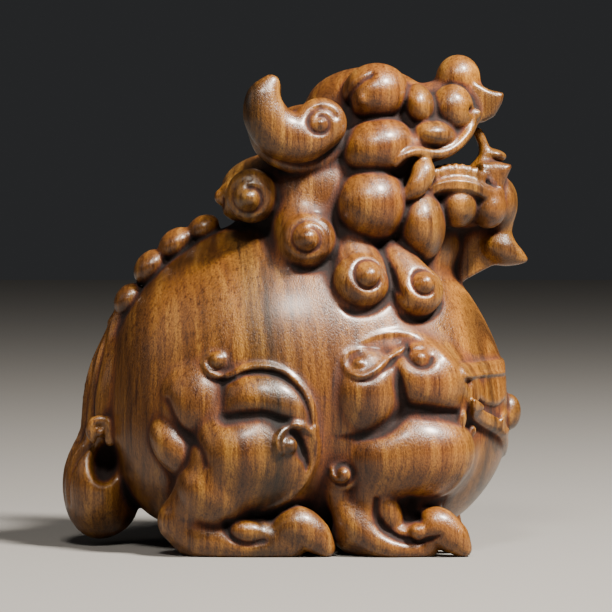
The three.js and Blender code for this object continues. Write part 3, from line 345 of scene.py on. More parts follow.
def plate(corners, inner, outer, seam=SEAM, how=join, edge=0.0):
    """A flat shape with (x, z) corners, from depth inner to outer: the distance to its outline,
    negative inside, and to its two faces, whichever is more, with its outer edge rounded."""
    corners = np.asarray(corners, float)
    low, high = corners.min(0), corners.max(0)
    place, x, h, z = region((low[0], inner, low[1]), (high[0], outer, high[1]), seam + 1 + 2 * PITCH)
    closed = np.vstack([corners, corners[:1]])
    fx, fz = x[:, :, 0], z[0]
    off, _ = nearest_on(closed, fx, fz)
    inside = np.zeros(off.shape, bool)
    for a, b in zip(closed, closed[1:]):
        if a[1] != b[1]:
            crosses = (a[1] > fz) != (b[1] > fz)
            inside ^= crosses & (fx < a[0] + (b[0] - a[0]) * (fz - a[1]) / (b[1] - a[1]))
    outline = np.where(inside, -off, off)[:, None, :]
    rim = -rounded_min(-outline, outer - h, edge)
    field[place] = how(field[place], np.maximum(rim, inner - h), seam)


def curl(target, size, begin, turns, side=FLANK_SIDE, stand=0.45):
    """The end of a rolled lock, cut on a rounded form: a slot that winds in round a bead of radius
    size and is deepest near its end, and the bead, which stands out by a share of its radius."""
    p = onto(target, side)
    n = unit(outward(p) + unit(side))
    u, v = axes_on(n, 0)
    path = spiral((0, 0), size * (BEAD_ROOM + TURN_ROOM * abs(turns)), size * BEAD_ROOM, begin, turns)
    place, x, h, z = region(p, p, size * ROLL_REACH)
    d = (x - p[0], h - p[1], z - p[2])
    over, up, out = (d[0] * a[0] + d[1] * a[1] + d[2] * a[2] for a in (u, v, n))
    off, share = nearest_on(path, over, up)
    depth = SLOT_DEPTH * size * along((0.3, 0.6, 0.8, 1, 0.9), share)
    wide = size * 0.1 + 0.17
    slot = (out > -size * SLOT_UNDER) * depth * np.exp(-off / wide)
    field[place] += slot
    cuts[place] = np.maximum(cuts[place], slot)
    mass(p + n * (stand - 1) * size, (size, size, size), seam=0.15)


print("a slot round a bead of 1.5 mm is", round(1.5 * SLOT_DEPTH, 2), "mm deep")

# %% [markdown]
# The body is a fat egg with a low chest and rump, cut level under the belly so that it stands on
# its paws. One lathe-turned form would be too even, so three ellipsoids melt together. They come
# first, because every later form is laid on them.
#
# %% Body
BELLY_GAP = 2.8  # air under the belly
BELLY_SEAM = 3  # how softly the belly turns under
BELLY_REACH = 12  # height above which the cut changes nothing


def carved(form):
    """Carves one form and prints how much of the half block is wood then."""
    form()
    print(form.__name__, "carved; wood in the half block:", int((field < 0).sum()), "places")


def body():
    """Three ellipsoids with wide seams, and a level cut."""
    mass([1.5, 0, 25.5], [32, 24, 29], seam=0)
    mass([13, 0, 20], [21, 20.5, 18.5], seam=6)
    mass([-9, 0, 17], [20, 21, 15.5], seam=6)
    place, _, _, z = region(BLOCK_LOW, [BLOCK_HIGH[0], BLOCK_HIGH[1], BELLY_REACH], 0)
    field[place] = carve(field[place], z - BELLY_GAP, BELLY_SEAM)


carved(body)

# %% [markdown]
# The head: skull, neck and jaws are joined first. Then the mouth is cut through the jaws from the
# side, with a tongue left standing in the middle, as carvers leave one to brace the open jaws. A
# Boolean modifier would cut it with a hard rim, and a cut in the field rounds it.
#
# %% Head
def head():
    """Masses for skull, neck and jaws, a plate cut away for the mouth, and the tongue's strands."""
    mass([13.4, 0, 62], [14.8, 12.4, 14.3], seam=0)
    mass([12, 0, 49.5], [15, 12.5, 9], seam=3)
    mass([-1.5, 0, 58.4], [10.4, 12, 6.2], seam=3)
    mass([4.4, 6.4, 57.4], [9.6, 8.6, 9.6], seam=3)
    mass([12, 0, 71.2], [10.4, 9, 7.2], seam=1.5)
    mass([22, 0, 69.4], [8.6, 9, 5.6], seam=1.5)
    mass([26, 0, 56.6], [9, 8.6, 4.8], seam=1.5)
    mouth = [
        [20.8, 60.2], [21.8, 62.6], [24.4, 63.6], [26.2, 65.2], [27.4, 67.4], [28.6, 69.2], [32, 69.8],
        [36, 69], [36, 62.6], [31, 61.8], [26, 61],
    ]
    plate(mouth, -1, 20, seam=0.8, how=carve)
    tongue = [[29.4, 0, 60.5], [31, 0, 63.6], [30.7, 0, 65.6], [29.8, 0, 67.7]]
    for h in (0, 1.4):
        strand(smoothed(np.array(tongue) + [0, h, 0], 12), [1.8, 1.2, 0.8, 0.8], seam=0.6)
    mass([32.5, 0, 64.1], [2.1, 2.8, 0.9], tilt=-14, seam=0.4)
    mass([31.4, 0, 62.2], [1.8, 3, 1.6], seam=0.6)


carved(head)

# %% [markdown]
# The legs are folded under it. Each is a heap of plump swellings with sharp creases between them,
# an auspicious scroll drawn over the top, and a foot with curled toes. A smooth tube would read as
# a cushion: it is the creases, cut after the swellings, that make a carved leg of it.
#
# %% Hind leg
def toe(points, r):
    """A toe: a strand that swells and ends narrow."""
    strand(smoothed(points, 12), [r * 0.85, r, r * 0.85, r * 0.5], seam=0.4)


def hind_leg():
    """Masses and strands for thigh, shin, foot and toes, then swellings and creases on them."""
    mass([-4.8, 18, 18.4], [12, 8.6, 12.2], seam=1.2)
    strand([[-8.6, 19.6, 16], [-12.6, 20.4, 10.5], [-17.6, 19.2, 6.2]], [7.4, 6.2, 3.7], seam=2)
    foot = [[-18.3, 19.2, 5.2], [-14.5, 19.8, 2.8], [-6, 20.6, 2.4], [-1, 21, 2.2]]
    strand(smoothed(foot, 12), [3.3, 4, 3.8, 3.2], seam=1)
    toe([[-2.2, 21.2, 3], [0.6, 21.8, 4.8], [3, 22, 3.4], [4.9, 22, 1.4]], 3.3)
    toe([[-4, 16.4, 3], [-0.8, 16, 4.4], [1.8, 16, 3], [3.6, 16, 1.4]], 3)
    toe([[-5, 12, 2.6], [-2.4, 11.4, 3.8], [0.2, 11.2, 2.6], [2, 11.2, 1.3]], 2.6)
    # rump, buttock, upper thigh and knee
    swell([-16.4, 24.6], [8, 9.2], 1.8, seam=0.8)
    swell([-19.2, 17], [5.8, 3.7], 2.2, tilt=-46, seam=0.4)
    swell([-3.6, 26.2], [9.2, 6.8], 1.4, tilt=-14, seam=0.6)
    swell([-5.2, 15.4], [9.6, 7.6], 0.9, seam=1.4)
    line([[-11.2, 28.6], [-11.2, 26], [-11.4, 22.4]], deep=0.4, wide=0.8)
    line([[-10.6, 22], [-8.2, 22.5], [-4.8, 22.9], [-2.8, 22.2], [-1, 21.4]], deep=1.2, wide=0.9)
    line([[-20, 24.8], [-18, 20.6], [-14.6, 17.4], [-13.8, 15]], deep=0.5, wide=0.7)
    # side pad in its hollow
    line([[-10.6, 5.6], [-10, 3.4], [-7.6, 2.2], [-4.6, 2.6]], deep=0.8, wide=0.5)
    swell([-7.6, 4.6], [3, 1.8], 0.9, tilt=-8, seam=0.3)


carved(hind_leg)

# %% [markdown]
# Over the thigh runs a scroll that curls round a bead, and the knee has a curl of its own with a
# deep slot behind it. A bevelled curve would lie there like a wire. A thread raised from the wood,
# with a furrow just inside it, looks as if it had been carved free.
#
# %% Scroll and knee
def scroll_and_knee():
    """Threads for scroll and knee, furrows for their shade, and a ball at each curl."""
    scroll = [
        [-13.4, 32.4], [-14.2, 31], [-13.4, 29.5], [-11.4, 28.8], [-9.7, 29.1], [-8, 30], [-6.2, 30.4],
        [-4, 30.4], [-1.6, 29.7], [0.8, 27.8], [2.4, 25.3], [3.1, 22.8], [3.2, 20.6],
    ]
    shadow = np.array(scroll[2:]) + [-0.5, -0.9]
    line(shadow, deep=0.6, wide=0.35, taper=[0.4, 1, 1, 1, 0.5])
    line(scroll, rise=0.7, wide=0.66, taper=[0.7, 1, 1, 1, 0.9, 0.8, 0.6])
    ball([-12, 31.3], 1.45, 1.2)
    # curl on the knee and the slot behind it
    slot = [[-0.1, 20.2], [0.7, 18.6], [1.4, 16.6], [1.9, 15], [1.8, 13.4]]
    line(slot, deep=1.6, wide=0.55, taper=[0.5, 1, 1, 0.6, 0.1])
    knee = [
        [3, 17.4], [3, 19.6], [2, 20.7], [0.8, 21.2], [-0.6, 21.1], [-1.9, 20.2], [-2.5, 18.6], [-2.1, 17],
    ]
    line(knee, rise=1, wide=0.8, taper=[0.3, 0.7, 1, 1, 1])
    ball([-0.7, 18], 1.4, 1.2)
    round_knee = [[3.4, 20.8], [3.6, 17.6], [3, 14.6], [1.6, 11.8], [-0.4, 9.6], [-3, 8], [-6, 7]]
    line(round_knee, rise=0.5, wide=0.5, taper=[1, 1, 1, 0.5])


carved(scroll_and_knee)

# %% [markdown]
# The front legs stand straight, with a heavy forearm and a foot of three toes. The Skin modifier
# could grow a leg from a chain of edges, but not melt it into the belly. The work goes from large to
# small again, so that what comes later lies on a finished form.
#
# %% Front leg
def front_leg():
    """Masses and strands for the leg and its foot."""
    mass([17.5, 14.6, 25], [11.6, 8.8, 11], seam=1.2)
    mass([17.8, 13.2, 16.4], [11.4, 10.6, 9.2], seam=1.2)
    strand([[12.5, 17, 12], [12, 18.4, 6]], [6, 5.2], seam=1.5)
    strand(smoothed([[9.8, 19, 3.8], [14.5, 20, 2.4], [19, 20.4, 2.2]], 10), [3.8, 3.8, 3.4], seam=1)
    toe([[20, 21, 3], [22.4, 21.8, 4.9], [25, 22, 3.2], [26.6, 22, 1.3]], 3.1)
    toe([[17, 15.8, 3.2], [20.4, 15.8, 4.4], [23.2, 15.8, 3.2], [24.8, 15.8, 1.4]], 3)
    toe([[16, 11.2, 2.8], [19, 10.8, 3.8], [21.6, 10.6, 2.8], [23.2, 10.6, 1.3]], 2.6)


carved(front_leg)

# %% [markdown]
# The shoulder has two lobes over one big swelling, an arch over them and a leaf scroll. Swellings
# are sunk in the flank first, the creases between them are cut next, and threads come last.
#
# %% Shoulder
def shoulder():
    """Swellings, creases, then threads and balls for the arch, the leaf and the small curls."""
    # shoulder: a left swell, a right swell and a big one under both
    swell([11.8, 26.6], [6.2, 7.6], 2.6, seam=0.6)
    swell([21.2, 29], [7.6, 6.6], 1.7, tilt=-12, seam=0.5)
    swell([18.2, 16.2], [10.8, 7.8], 2, seam=0.6)
    swell([11.8, 12.6], [6, 6], 0.6, tilt=50, seam=2.4)
    parting = [[16.3, 30.4], [16.5, 29], [16.8, 27.4], [17.2, 25.6], [17.6, 24]]
    line(parting, deep=1.1, wide=0.7, taper=[0.3, 1, 1])
    crease = [
        [5.6, 19.2], [8.6, 19.2], [11.6, 19.2], [14.2, 20],
        [16, 21.4], [17.4, 23.4], [20, 23.7], [25.6, 22.6],
    ]
    line(crease, deep=1, wide=0.8, taper=[0.05, 0.5, 1, 1, 1, 1])
    under = [[17.2, 9.4], [20.4, 8.7], [23.4, 9.4], [25.8, 11.2], [27, 13.4]]
    line(under, rise=0.4, wide=0.4, taper=[0.4, 1, 1, 0.6])
    # leaf scroll on the shoulder, curled at its left end, and a small curl under it
    arch = [
        [9.8, 33.8], [12.8, 35.2], [16, 35.7], [19, 35.3], [21.4, 34.2], [23.6, 32.1], [25.5, 29.8],
        [27.1, 26.8], [28, 24.2], [28.2, 22.6],
    ]
    line(arch, rise=0.35, wide=0.7, taper=[0.5, 1, 1, 0.9, 0.8])
    leaf = [
        [12, 32], [10.5, 33.1], [8.5, 32.6], [7.9, 30.8], [9.1, 29.2], [11.2, 29], [13.2, 30.1],
        [15.2, 31.9], [17.6, 33.3], [20.2, 33.7],
    ]
    line(np.array(leaf[3:]) + [0.3, -0.7], deep=0.6, wide=0.3, taper=[0.6, 1, 1, 0.4])
    line(leaf, rise=0.5, wide=0.62, taper=[0.5, 0.9, 1, 1, 0.6])
    ball([10.3, 31], 1, 0.6)
    cup = [[17.9, 33.4], [17.8, 32], [18.7, 30.8], [20, 30.2], [21.3, 30.6], [21.8, 31.6]]
    line(cup, deep=0.9, wide=0.35)
    ball([20, 32], 1.3, 0.6)
    swell([26.4, 21.8], [0.95, 1.7], 1, tilt=-10, seam=0.25)
    ball([28.1, 19.8], 1, 0.9)


carved(shoulder)

# %% [markdown]
# From a curl at the elbow a flame-like band runs down into the foot, and a side toe stands in the
# bowl that it leaves. The band's points are found on the flank by rays, so that it never floats.
#
# %% Elbow and foot
def elbow_and_foot():
    """A strand and a spiral furrow for the band and its curl, then the bowl and its toe."""
    # curl at the elbow, its band running down into the foot
    band = [onto(spot) for spot in ([7.2, 12.4], [7.8, 8.4], [10.4, 4.4], [14.8, 1.8], [21, 1])]
    strand(smoothed(np.array(band) - [0, 1.4, 0], 20), [2.4, 2.5, 2.4, 2, 1.6], seam=1.2)
    elbow = onto([7.9, 13.1])
    mass(elbow - [0, 1, 0], [2.7, 2.8, 2.6], seam=0.4)
    line(spiral([7.6, 13.4], 2.1, 0.9, 170, 1.1), deep=1.1, wide=0.32, taper=[0.3, 1, 1, 1, 1], start=12)
    # flesh between the foot and the belly, behind the toes
    mass([18.6, 16.4, 7.6], [5, 4.4, 3.6], seam=1)
    # side toe standing in the bowl of the foot, and a bead beside it
    bowl = [[13, 9.2], [12.9, 6.6], [14.3, 4.4], [16.8, 2.9], [19.6, 2.6], [23, 3.6]]
    line(bowl, deep=1.3, wide=0.5, taper=[0.6, 1, 1, 1, 0.5])
    swell([15.8, 6.6], [2, 3.5], 1.2, tilt=24, seam=0.3)
    ball([19.4, 4.2], 1.5, 1.1)
    line([[18.4, 8.8], [18.6, 7], [19.8, 6]], deep=1.2, wide=0.5)


carved(elbow_and_foot)

# %% [markdown]
# A thick tail lies up the back, furrowed like combed hair, with a deep hollow on either side. Its
# furrows are found by rays from behind, so that they keep one depth all the way down.
#
# %% Tail
def tail():
    """A strand that swells downwards and two masses, a hollow, a side curl, and combed furrows."""
    root = [[-26.8, 0, 39.5], [-29.8, 0, 33], [-31.4, 0, 26], [-31.6, 0, 19], [-32, 0, 12], [-31, 0, 7]]
    strand(smoothed(root, 20), [1.6, 2.4, 3, 3.4, 5, 5.6], seam=1)
    mass([-32, 0, 9.8], [5.8, 8.6, 8.8], seam=1.2)
    mass([-29.8, 0, 23], [3.8, 6.8, 12.5], seam=1.2, tilt=-8)
    mass([-30.6, 8.8, 14], [2.4, 6.4, 3.6], seam=1.2, how=carve)
    hook = [
        [-29.8, 7, 17.4], [-29.6, 7.4, 19.4], [-30.8, 7.6, 20.9],
        [-32.4, 7.6, 20.6], [-33, 7.4, 19], [-32.4, 7.2, 17.6],
    ]
    strand(smoothed(hook, 14), [0.8, 0.8, 0.8, 0.6], seam=0.3)
    mass([-31.3, 7.4, 18.9], [0.9, 1.3, 0.9], seam=0.2)
    strand(smoothed([[-29, 7, 19], [-28, 7, 24], [-27.4, 6.4, 30]], 8), [0.9, 0.9, 0.5], seam=0.6)
    for h in (0, 2.6, 5.2):
        heights = [[36, 0.2], [30, 0.6], [24, 0.8], [18, 0.9], [12, 1], [7, 0.9]]
        furrow = [onto([-20, h * share, z], [-1, 0, 0]) for z, share in heights]
        strand(smoothed(furrow, 24), [0.4, 0.6, 0.7, 0.7, 0.4], seam=0.4, how=carve)


carved(tail)

# %% [markdown]
# A row of beads runs from the tail over the shoulders: the backbone, as carvers draw it. An Array
# along a curve would make them all alike. These differ in size and lean with the back, so each has
# its own row of numbers.
#
# %% Spine
def spine_beads():
    """Ellipsoids of radius r at (x, z), each leaning by some degrees."""
    beads = [
        [-27, 40.3, 2.4, 56], [-23.4, 45.6, 2.7, 50], [-19.2, 49.4, 2.7, 38], [-14.8, 52, 2.3, 28],
    ]
    for x, z, r, lean in beads:
        mass([x, 0, z], [r * 1.2, r * 1.4, r * 0.9], tilt=lean, seam=0.3)


carved(spine_beads)

# %% [markdown]
# The brow is two bulges that nearly touch, with one curved cut and a small bead on it. Carved from
# one mass, the crease between them would have to be cut. Two masses leave it by themselves.
#
# %% Brow
def brow():
    """Two masses, a furrow and a ball."""
    mass([13.1, 7.6, 74], [5.4, 6.2, 4.9], tilt=6, seam=0.4)
    mass([20, 7.2, 72], [2.6, 5, 3.6], tilt=14, seam=0.25)
    line([[8.8, 71.6], [9, 73.6], [10.4, 75.4], [12.4, 76.8]], deep=1, wide=0.4)
    ball([10.8, 72.8], 1.1, 0.6)


carved(brow)

# %% [markdown]
# The nose is a knob that ends in a pointed, upturned tip. Its side view is too crisp for masses
# alone, so the tip is a plate with a rounded edge, and a thin channel marks the nostril's wing.
#
# %% Nose
def nose():
    """Masses for the knob and the bulge beside it, a plate for the tip, and carved nostrils."""
    mass([26.6, 0, 76.6], [3.6, 4.6, 3.8], seam=0.6)
    mass([28, 0, 73.8], [2.8, 4.2, 3], seam=0.8)
    mass([23.6, 0, 72.8], [4, 5, 3.4], seam=1.2)
    mass([25.4, 5.8, 71.5], [3.5, 4.1, 4], seam=0.25)
    mass([29.4, 0, 72.2], [2.5, 4.2, 2.8], seam=0.6)
    tip = [
        [28.6, 76.2], [30.4, 75.3], [31.6, 74.6], [34, 74.1],
        [33.6, 72.4], [32.4, 70.3], [30.8, 69.4], [28.6, 69.4],
    ]
    plate(tip, -1, 4, seam=0.5, edge=1)
    nostril = [[25.6, 9.4, 75.4], [27.4, 8, 74.2], [29, 6.6, 73], [30.6, 5, 72.4]]
    strand(smoothed(nostril, 12), [0.35, 0.65, 0.6, 0.4], seam=0.3, how=carve)
    mass([28.5, 7.4, 71.3], [0.7, 1.2, 0.6], tilt=30, seam=0.2, how=carve)
    mass([29.4, 5.4, 70.6], [0.9, 0.9, 0.9], seam=0.3)


carved(nose)

# %% [markdown]
# Cheeks, jaw muscles and the flesh under the lip are all the same ball in different sizes. Metaballs
# would run together. Narrow seams keep the dark lines between them, which make the face grim.
#
# %% Cheeks
def cheeks():
    """Masses down the side of the face, with narrow seams."""
    mass([13.1, 10, 65.1], [6.4, 6.6, 4.8], tilt=18, seam=0.25)
    mass([21.8, 7.6, 66.8], [4.4, 4.2, 3.2], seam=0.6)
    mass([22.1, 8.8, 67.4], [3.5, 4.6, 2.3], tilt=-4, seam=0.25)
    mass([12.2, 11.2, 56], [6.2, 7.4, 6.2], seam=0.25)
    mass([20.2, 9, 52.7], [4.1, 6.8, 5.9], tilt=4, seam=0.25)
    mass([26.2, 6.8, 55.9], [3.5, 4.3, 3.7], seam=0.25)
    mass([31.3, 5, 55.4], [3, 4, 3.4], seam=0.25)
    mass([33, 0, 56.4], [3.3, 4.4, 4.3], seam=0.5)


carved(cheeks)

# %% [markdown]
# The lips are thin rolls that follow the open mouth, with teeth in a row and a tusk between them.
# A lip is a strand on a fatter strand: the thin one gives the edge, the fat one the flesh.
#
# %% Lips, teeth and tusk
def lips():
    """Strands for both lips, a plate for the lower one's corner, masses for teeth, and a tusk."""
    # upper lip, with the flesh behind it
    upper = [
        [16.1, 14.9, 62.5], [17.5, 14.9, 63.9], [19.2, 13.7, 64.5], [21.1, 12.2, 64.3], [23.2, 11.2, 64.2],
        [25, 10.2, 64.7], [26.6, 9, 65.9], [27.9, 7.6, 67.5], [28.7, 6.2, 69.4], [28.7, 5.4, 70.6],
    ]
    strand(smoothed(np.array(upper) + [0, -2.6, 1], 27), [1.5, 1.8, 1.8, 1.5, 1], seam=0.8)
    strand(smoothed(upper, 27), [0.55, 0.78, 0.8, 0.75, 0.65], seam=0.25)
    strand(smoothed(np.array(upper[1:7]) + [0, 0.35, 1.2], 20), [0.2, 0.35, 0.2], seam=0.2, how=carve)
    # lower lip: a band between two thin rims, with its flared corner in front
    lower = [
        [21.5, 11.4, 58], [23.6, 11.2, 59], [26.5, 10.8, 59.2], [28.7, 10, 58.8], [30.5, 9, 57.9],
        [32.1, 7.8, 57.3], [33, 6.8, 57.8],
    ]
    strand(smoothed(np.array(lower) + [0, -1.5, 0], 28), [1.2, 1.5, 1.5, 1.4, 1], seam=0.5)
    for rise in (0.5, -0.5):
        strand(smoothed(np.array(lower) + [0, 0, rise], 28), [0.3, 0.38, 0.38, 0.38, 0.3], seam=0.2)
    corner = [
        [29.6, 62.6], [32.3, 62.9], [35.3, 62.4], [34.2, 60],
        [33.5, 58.2], [33, 57], [31, 57.6], [29.4, 59.4],
    ]
    plate(corner, -1, 6, seam=0.4, edge=1.4)
    line([[30.4, 62.6], [30.9, 61], [31.8, 59.4]], rise=0.4, wide=0.4)
    # teeth along the lower jaw
    strand([[22, 8.6, 60], [26, 8.2, 60.6], [29.6, 6.8, 60.2]], [1.3, 1.4, 1.3], seam=0.4)
    for share in np.linspace(0, 1, 7):
        x = 22.6 + 6.6 * share
        mass([x, 9.9 - 1.6 * share, 60.7 + 0.6 * math.sin(math.pi * share)], [0.62, 1, 1.5], seam=0.1)
    # tusk
    tusk = [[20.4, 11.2, 63.2], [20.6, 12.8, 61.2], [19.6, 13.9, 59], [17, 14.1, 56.7]]
    strand(smoothed(tusk, 14), [1.3, 2, 1.75, 0.5], seam=0.25)


carved(lips)

# %% [markdown]
# The chin runs out in a pointed beard. It stands in the middle plane, so a plate gives its side
# view and two strands make it round.
#
# %% Chin and beard
def chin():
    """Two strands and a plate."""
    strand([[33.4, 0, 54.6], [33.8, 0, 51.4], [33.6, 0, 49.4]], [2.6, 1.6, 2.4], seam=0.8)
    point = smoothed([[32.6, 0, 49], [34, 0, 48.2], [36, 0, 47.4], [37.6, 0, 46.8]], 10)
    strand(point, [2.4, 2.5, 1.5, 0.5], seam=0.6)
    beard = [[24, 53], [31.6, 52], [33.6, 48.6], [32.4, 46], [29.4, 44.4], [26.6, 42.8], [22, 45]]
    plate(beard, -1, 1, seam=0.8)


carved(chin)

# %% [markdown]
# The ear is a plump comma with a thin rim under it and a spiral cut in its root. It could be lofted
# from drawn sections. A strand, squeezed a little from the side, needs only the comma's middle line
# and a radius that shrinks towards the tip.
#
# %% Ear
def ear():
    """Two strands, a mass that carries them, and a furrow drawn along a spiral round a bead."""
    comma = [
        [4.2, 14.6, 69], [1, 15.6, 66.8], [-2.4, 16.2, 67.6],
        [-4.5, 16.8, 70.2], [-4.9, 17, 73], [-3.7, 16.8, 75.4],
    ]
    strand(smoothed(comma, 20), [4.2, 4.1, 4, 3.6, 2.8, 1.5], seam=0.4, flat=0.8)
    rim = [[7.4, 12.6, 65.2], [4, 13.2, 62.9], [-0.6, 13.6, 62.7], [-4.8, 14.2, 65], [-7, 14.6, 69.2]]
    strand(smoothed(rim, 20), [1, 1.5, 1.6, 1.5, 0.9], seam=0.4)
    mass([2, 10, 67.6], [6, 5.4, 4.6], seam=1.5)
    line(spiral([4.2, 69.1], 2.5, 1.1, 20, 1.25), deep=0.9, wide=0.3, start=12)
    ball([4.2, 69.1], 0.8, 0.4)


carved(ear)

# %% [markdown]
# Behind the jaw hangs a mane of four locks on each side, each rolled at its end, and a fifth at the
# nape. Hair curves would be the wrong thing, since carved locks are solid: each is a thick strand.
# The three ends over the chest stand clear of it, and an undercut deepens their shadow.
#
# %% Mane
def mane():
    """Strands that end in masses, with undercuts, and a rolled end on each lock."""
    strand(smoothed([[1.5, 7.2, 58], [1.2, 11, 53.6], [2.2, 14.2, 49.8]], 8), [4.4, 4.7, 4.8], seam=2)
    strand(smoothed([[9.6, 7, 54], [8.8, 11.6, 48.8], [10.6, 15.4, 43.7]], 10), [3.6, 4.3, 4.9], seam=1)
    strand(smoothed([[15.4, 7.6, 51], [16.2, 12, 46.8], [19.3, 14.9, 42]], 10), [2.4, 3.2, 4.3], seam=0.6)
    for x, h, z, r in [[2.2, 14.6, 50.2, 4.6], [10.5, 16.4, 43.5, 4.8], [19.4, 14.6, 41.9, 4.4]]:
        mass([x, h, z], [r, r * 1.2, r], seam=0.2)
        under = spiral([x, z], r + 0.1, r + 0.1, 215, 0.38)
        line(under, deep=0.7, wide=0.34, taper=[0, 1, 1, 1, 0.2], start=12)
    line([[14.6, 47.6], [15.2, 45.4], [16.6, 42.4], [19.2, 39.6]], deep=0.6, wide=0.6, taper=[0.1, 1, 1, 0.1])
    mass([-6.8, 12.4, 57.4], [4.1, 4, 4.4], seam=0.6)
    curl([2.2, 50.8], 1.5, begin=-30, turns=1.3, stand=0.5)
    curl([12, 44.9], 1.6, begin=-20, turns=1, stand=0.5)
    curl([20.9, 43.6], 1.5, begin=-40, turns=1, stand=0.5)
    curl([-7.2, 57], 1.5, begin=60, turns=1.1, stand=0.5)
    mass([-9, 5, 57], [3.4, 4, 3.8], seam=0.6)
    curl([-10.6, 5, 57.2], 1.4, side=[-0.85, 0.5, 0], begin=60, turns=0.8)


carved(mane)

# %% [markdown]
# A harness crosses the chest: a strap, an apron with a scalloped edge that hangs from it, a second
# strap that falls to the middle, and a round clasp with a ring drawn on either side. Straps laid on
# top as boxes would float or sink, so the chest's own surface is pushed out between two edges.
#
# %% Harness
APRON_SCALLOP = 7.6  # width of a scallop of the apron
HARNESS_HALF = 20  # how far the harness goes round from the middle plane


def layer(low, high, start, lift, edge=0.5):
    """The chest's own surface pushed out by lift, forward of where it starts, between two edges.
    Each edge is a height and its slope and scallop: height + slope * h - scallop * |sin| of h."""
    bottom, top = min(low[0], high[0]) - 4, max(low[0], high[0]) + 14
    place, x, h, z = region([start - 1, 0, bottom], [BLOCK_HIGH[0], HARNESS_HALF, top], 1)
    was = field[place]
    heights = [e[0] + e[1] * h - e[2] * np.abs(np.sin(np.pi * h / APRON_SCALLOP)) for e in (low, high)]
    outside = np.maximum(np.maximum(heights[0] - z, z - heights[1]), start - x)
    field[place] = join(was, -rounded_min(lift - was, -outside + 0 * was, edge), 0.3)


def harness():
    """Three layers, a mass for the clasp and a thread for the ring."""
    layer((23.9, 0.06, 1.1), (28.3, 0, 0), 28, 0.6)
    layer((28.3, 0, 0), (30.6, 0, 0), 26.4, 0.75, edge=0.7)
    layer((14.4, 0.42, 0), (16.8, 0.42, 0), 28.2, 1.1)
    mass([34.9, 0, 21.8], [2, 2.6, 3], seam=0.4)
    ring = [[34.2 + 0.8 * x, 20.4 + 1.6 * z] for x, z in spiral([0, 0], 1, 1, 0, 1)]
    line(ring, rise=0.6, wide=0.45, start=1)


carved(harness)

# %% [markdown]
# The paws are cut flat on the ground, and the half becomes a whole. Sanding comes last: a light
# blur of the field, a quarter of each neighbour's value along each axis, softens the tool marks.
# A Smooth modifier would do it unevenly, because the finished mesh has faces of many sizes.
#
# %% The whole figure
field[:] = np.maximum(field, -ticks[2][None, None, :])
whole, whole_cuts = (np.concatenate([half[:, :0:-1], half], axis=1) for half in (field, cuts))
whole_low = BLOCK_LOW - [0, PITCH * (counts[1] - 1), 0]

for axis in range(3):
    inner, back, ahead = ([slice(None)] * 3 for _ in range(3))
    inner[axis], back[axis], ahead[axis] = slice(1, -1), slice(0, -2), slice(2, None)
    blurred = whole[tuple(inner)] / 2 + whole[tuple(back)] / 4 + whole[tuple(ahead)] / 4
    whole[tuple(inner)] = blurred
print("wood in the whole block:", int((whole < 0).sum()), "places")

# %% [markdown]
# A skin can be stretched over the field only where the surface is a plain sheet. Where two sheets
# touch within one little cube of the grid, its edges would pinch, and the skin would not be closed.
# A cube's eight corners can be in the wood or out of it in 256 ways. This cell lists the sound ones.
#
# %% Sound cubes
def sound_masks():
    """For each of the 256 ways in which a cube's corners can be in the wood: whether the wood and
    the air in it each hang together along its edges, and no face has two opposite corners alone."""
    def joined(mask):
        """Whether the mask's corners hang together: a group grows from one of them along edges."""
        group = mask & -mask
        for _ in range(8):
            grown = group
            for c in range(8):
                if group >> c & 1:
                    for bit in (1, 2, 4):
                        grown |= 1 << (c ^ bit)
            group = grown & mask
        return group == mask

    faces = []
    for a in range(3):
        b, c = [axis for axis in range(3) if axis != a]
        for side in range(2):
            base = side << a
            faces.append([base, base | 1 << b, base | 1 << b | 1 << c, base | 1 << c])
    table = np.zeros(256, bool)
    for mask in range(256):
        crossed = any(
            (mask >> p & 1) == (mask >> r & 1) != (mask >> q & 1) == (mask >> s & 1) for p, q, r, s in faces
        )
        table[mask] = mask in (0, 255) or (joined(mask) and joined(255 ^ mask) and not crossed)
    return table


print("sound ways:", int(sound_masks().sum()), "of 256")

# %% [markdown]
# In each unsound cube one corner changes sides: the one that leaves the fewest unsound cubes round
# it, and of those the one nearest the surface, so that the carving moves by less than the pitch.
# Merging vertices by distance afterwards could close some gaps, but not say which side is wood.
#
# %% Settling the cubes
MOST_ROUNDS = 30
SIDE_STEP = 0.02  # how far past the surface a changed corner lands, as a share of the pitch


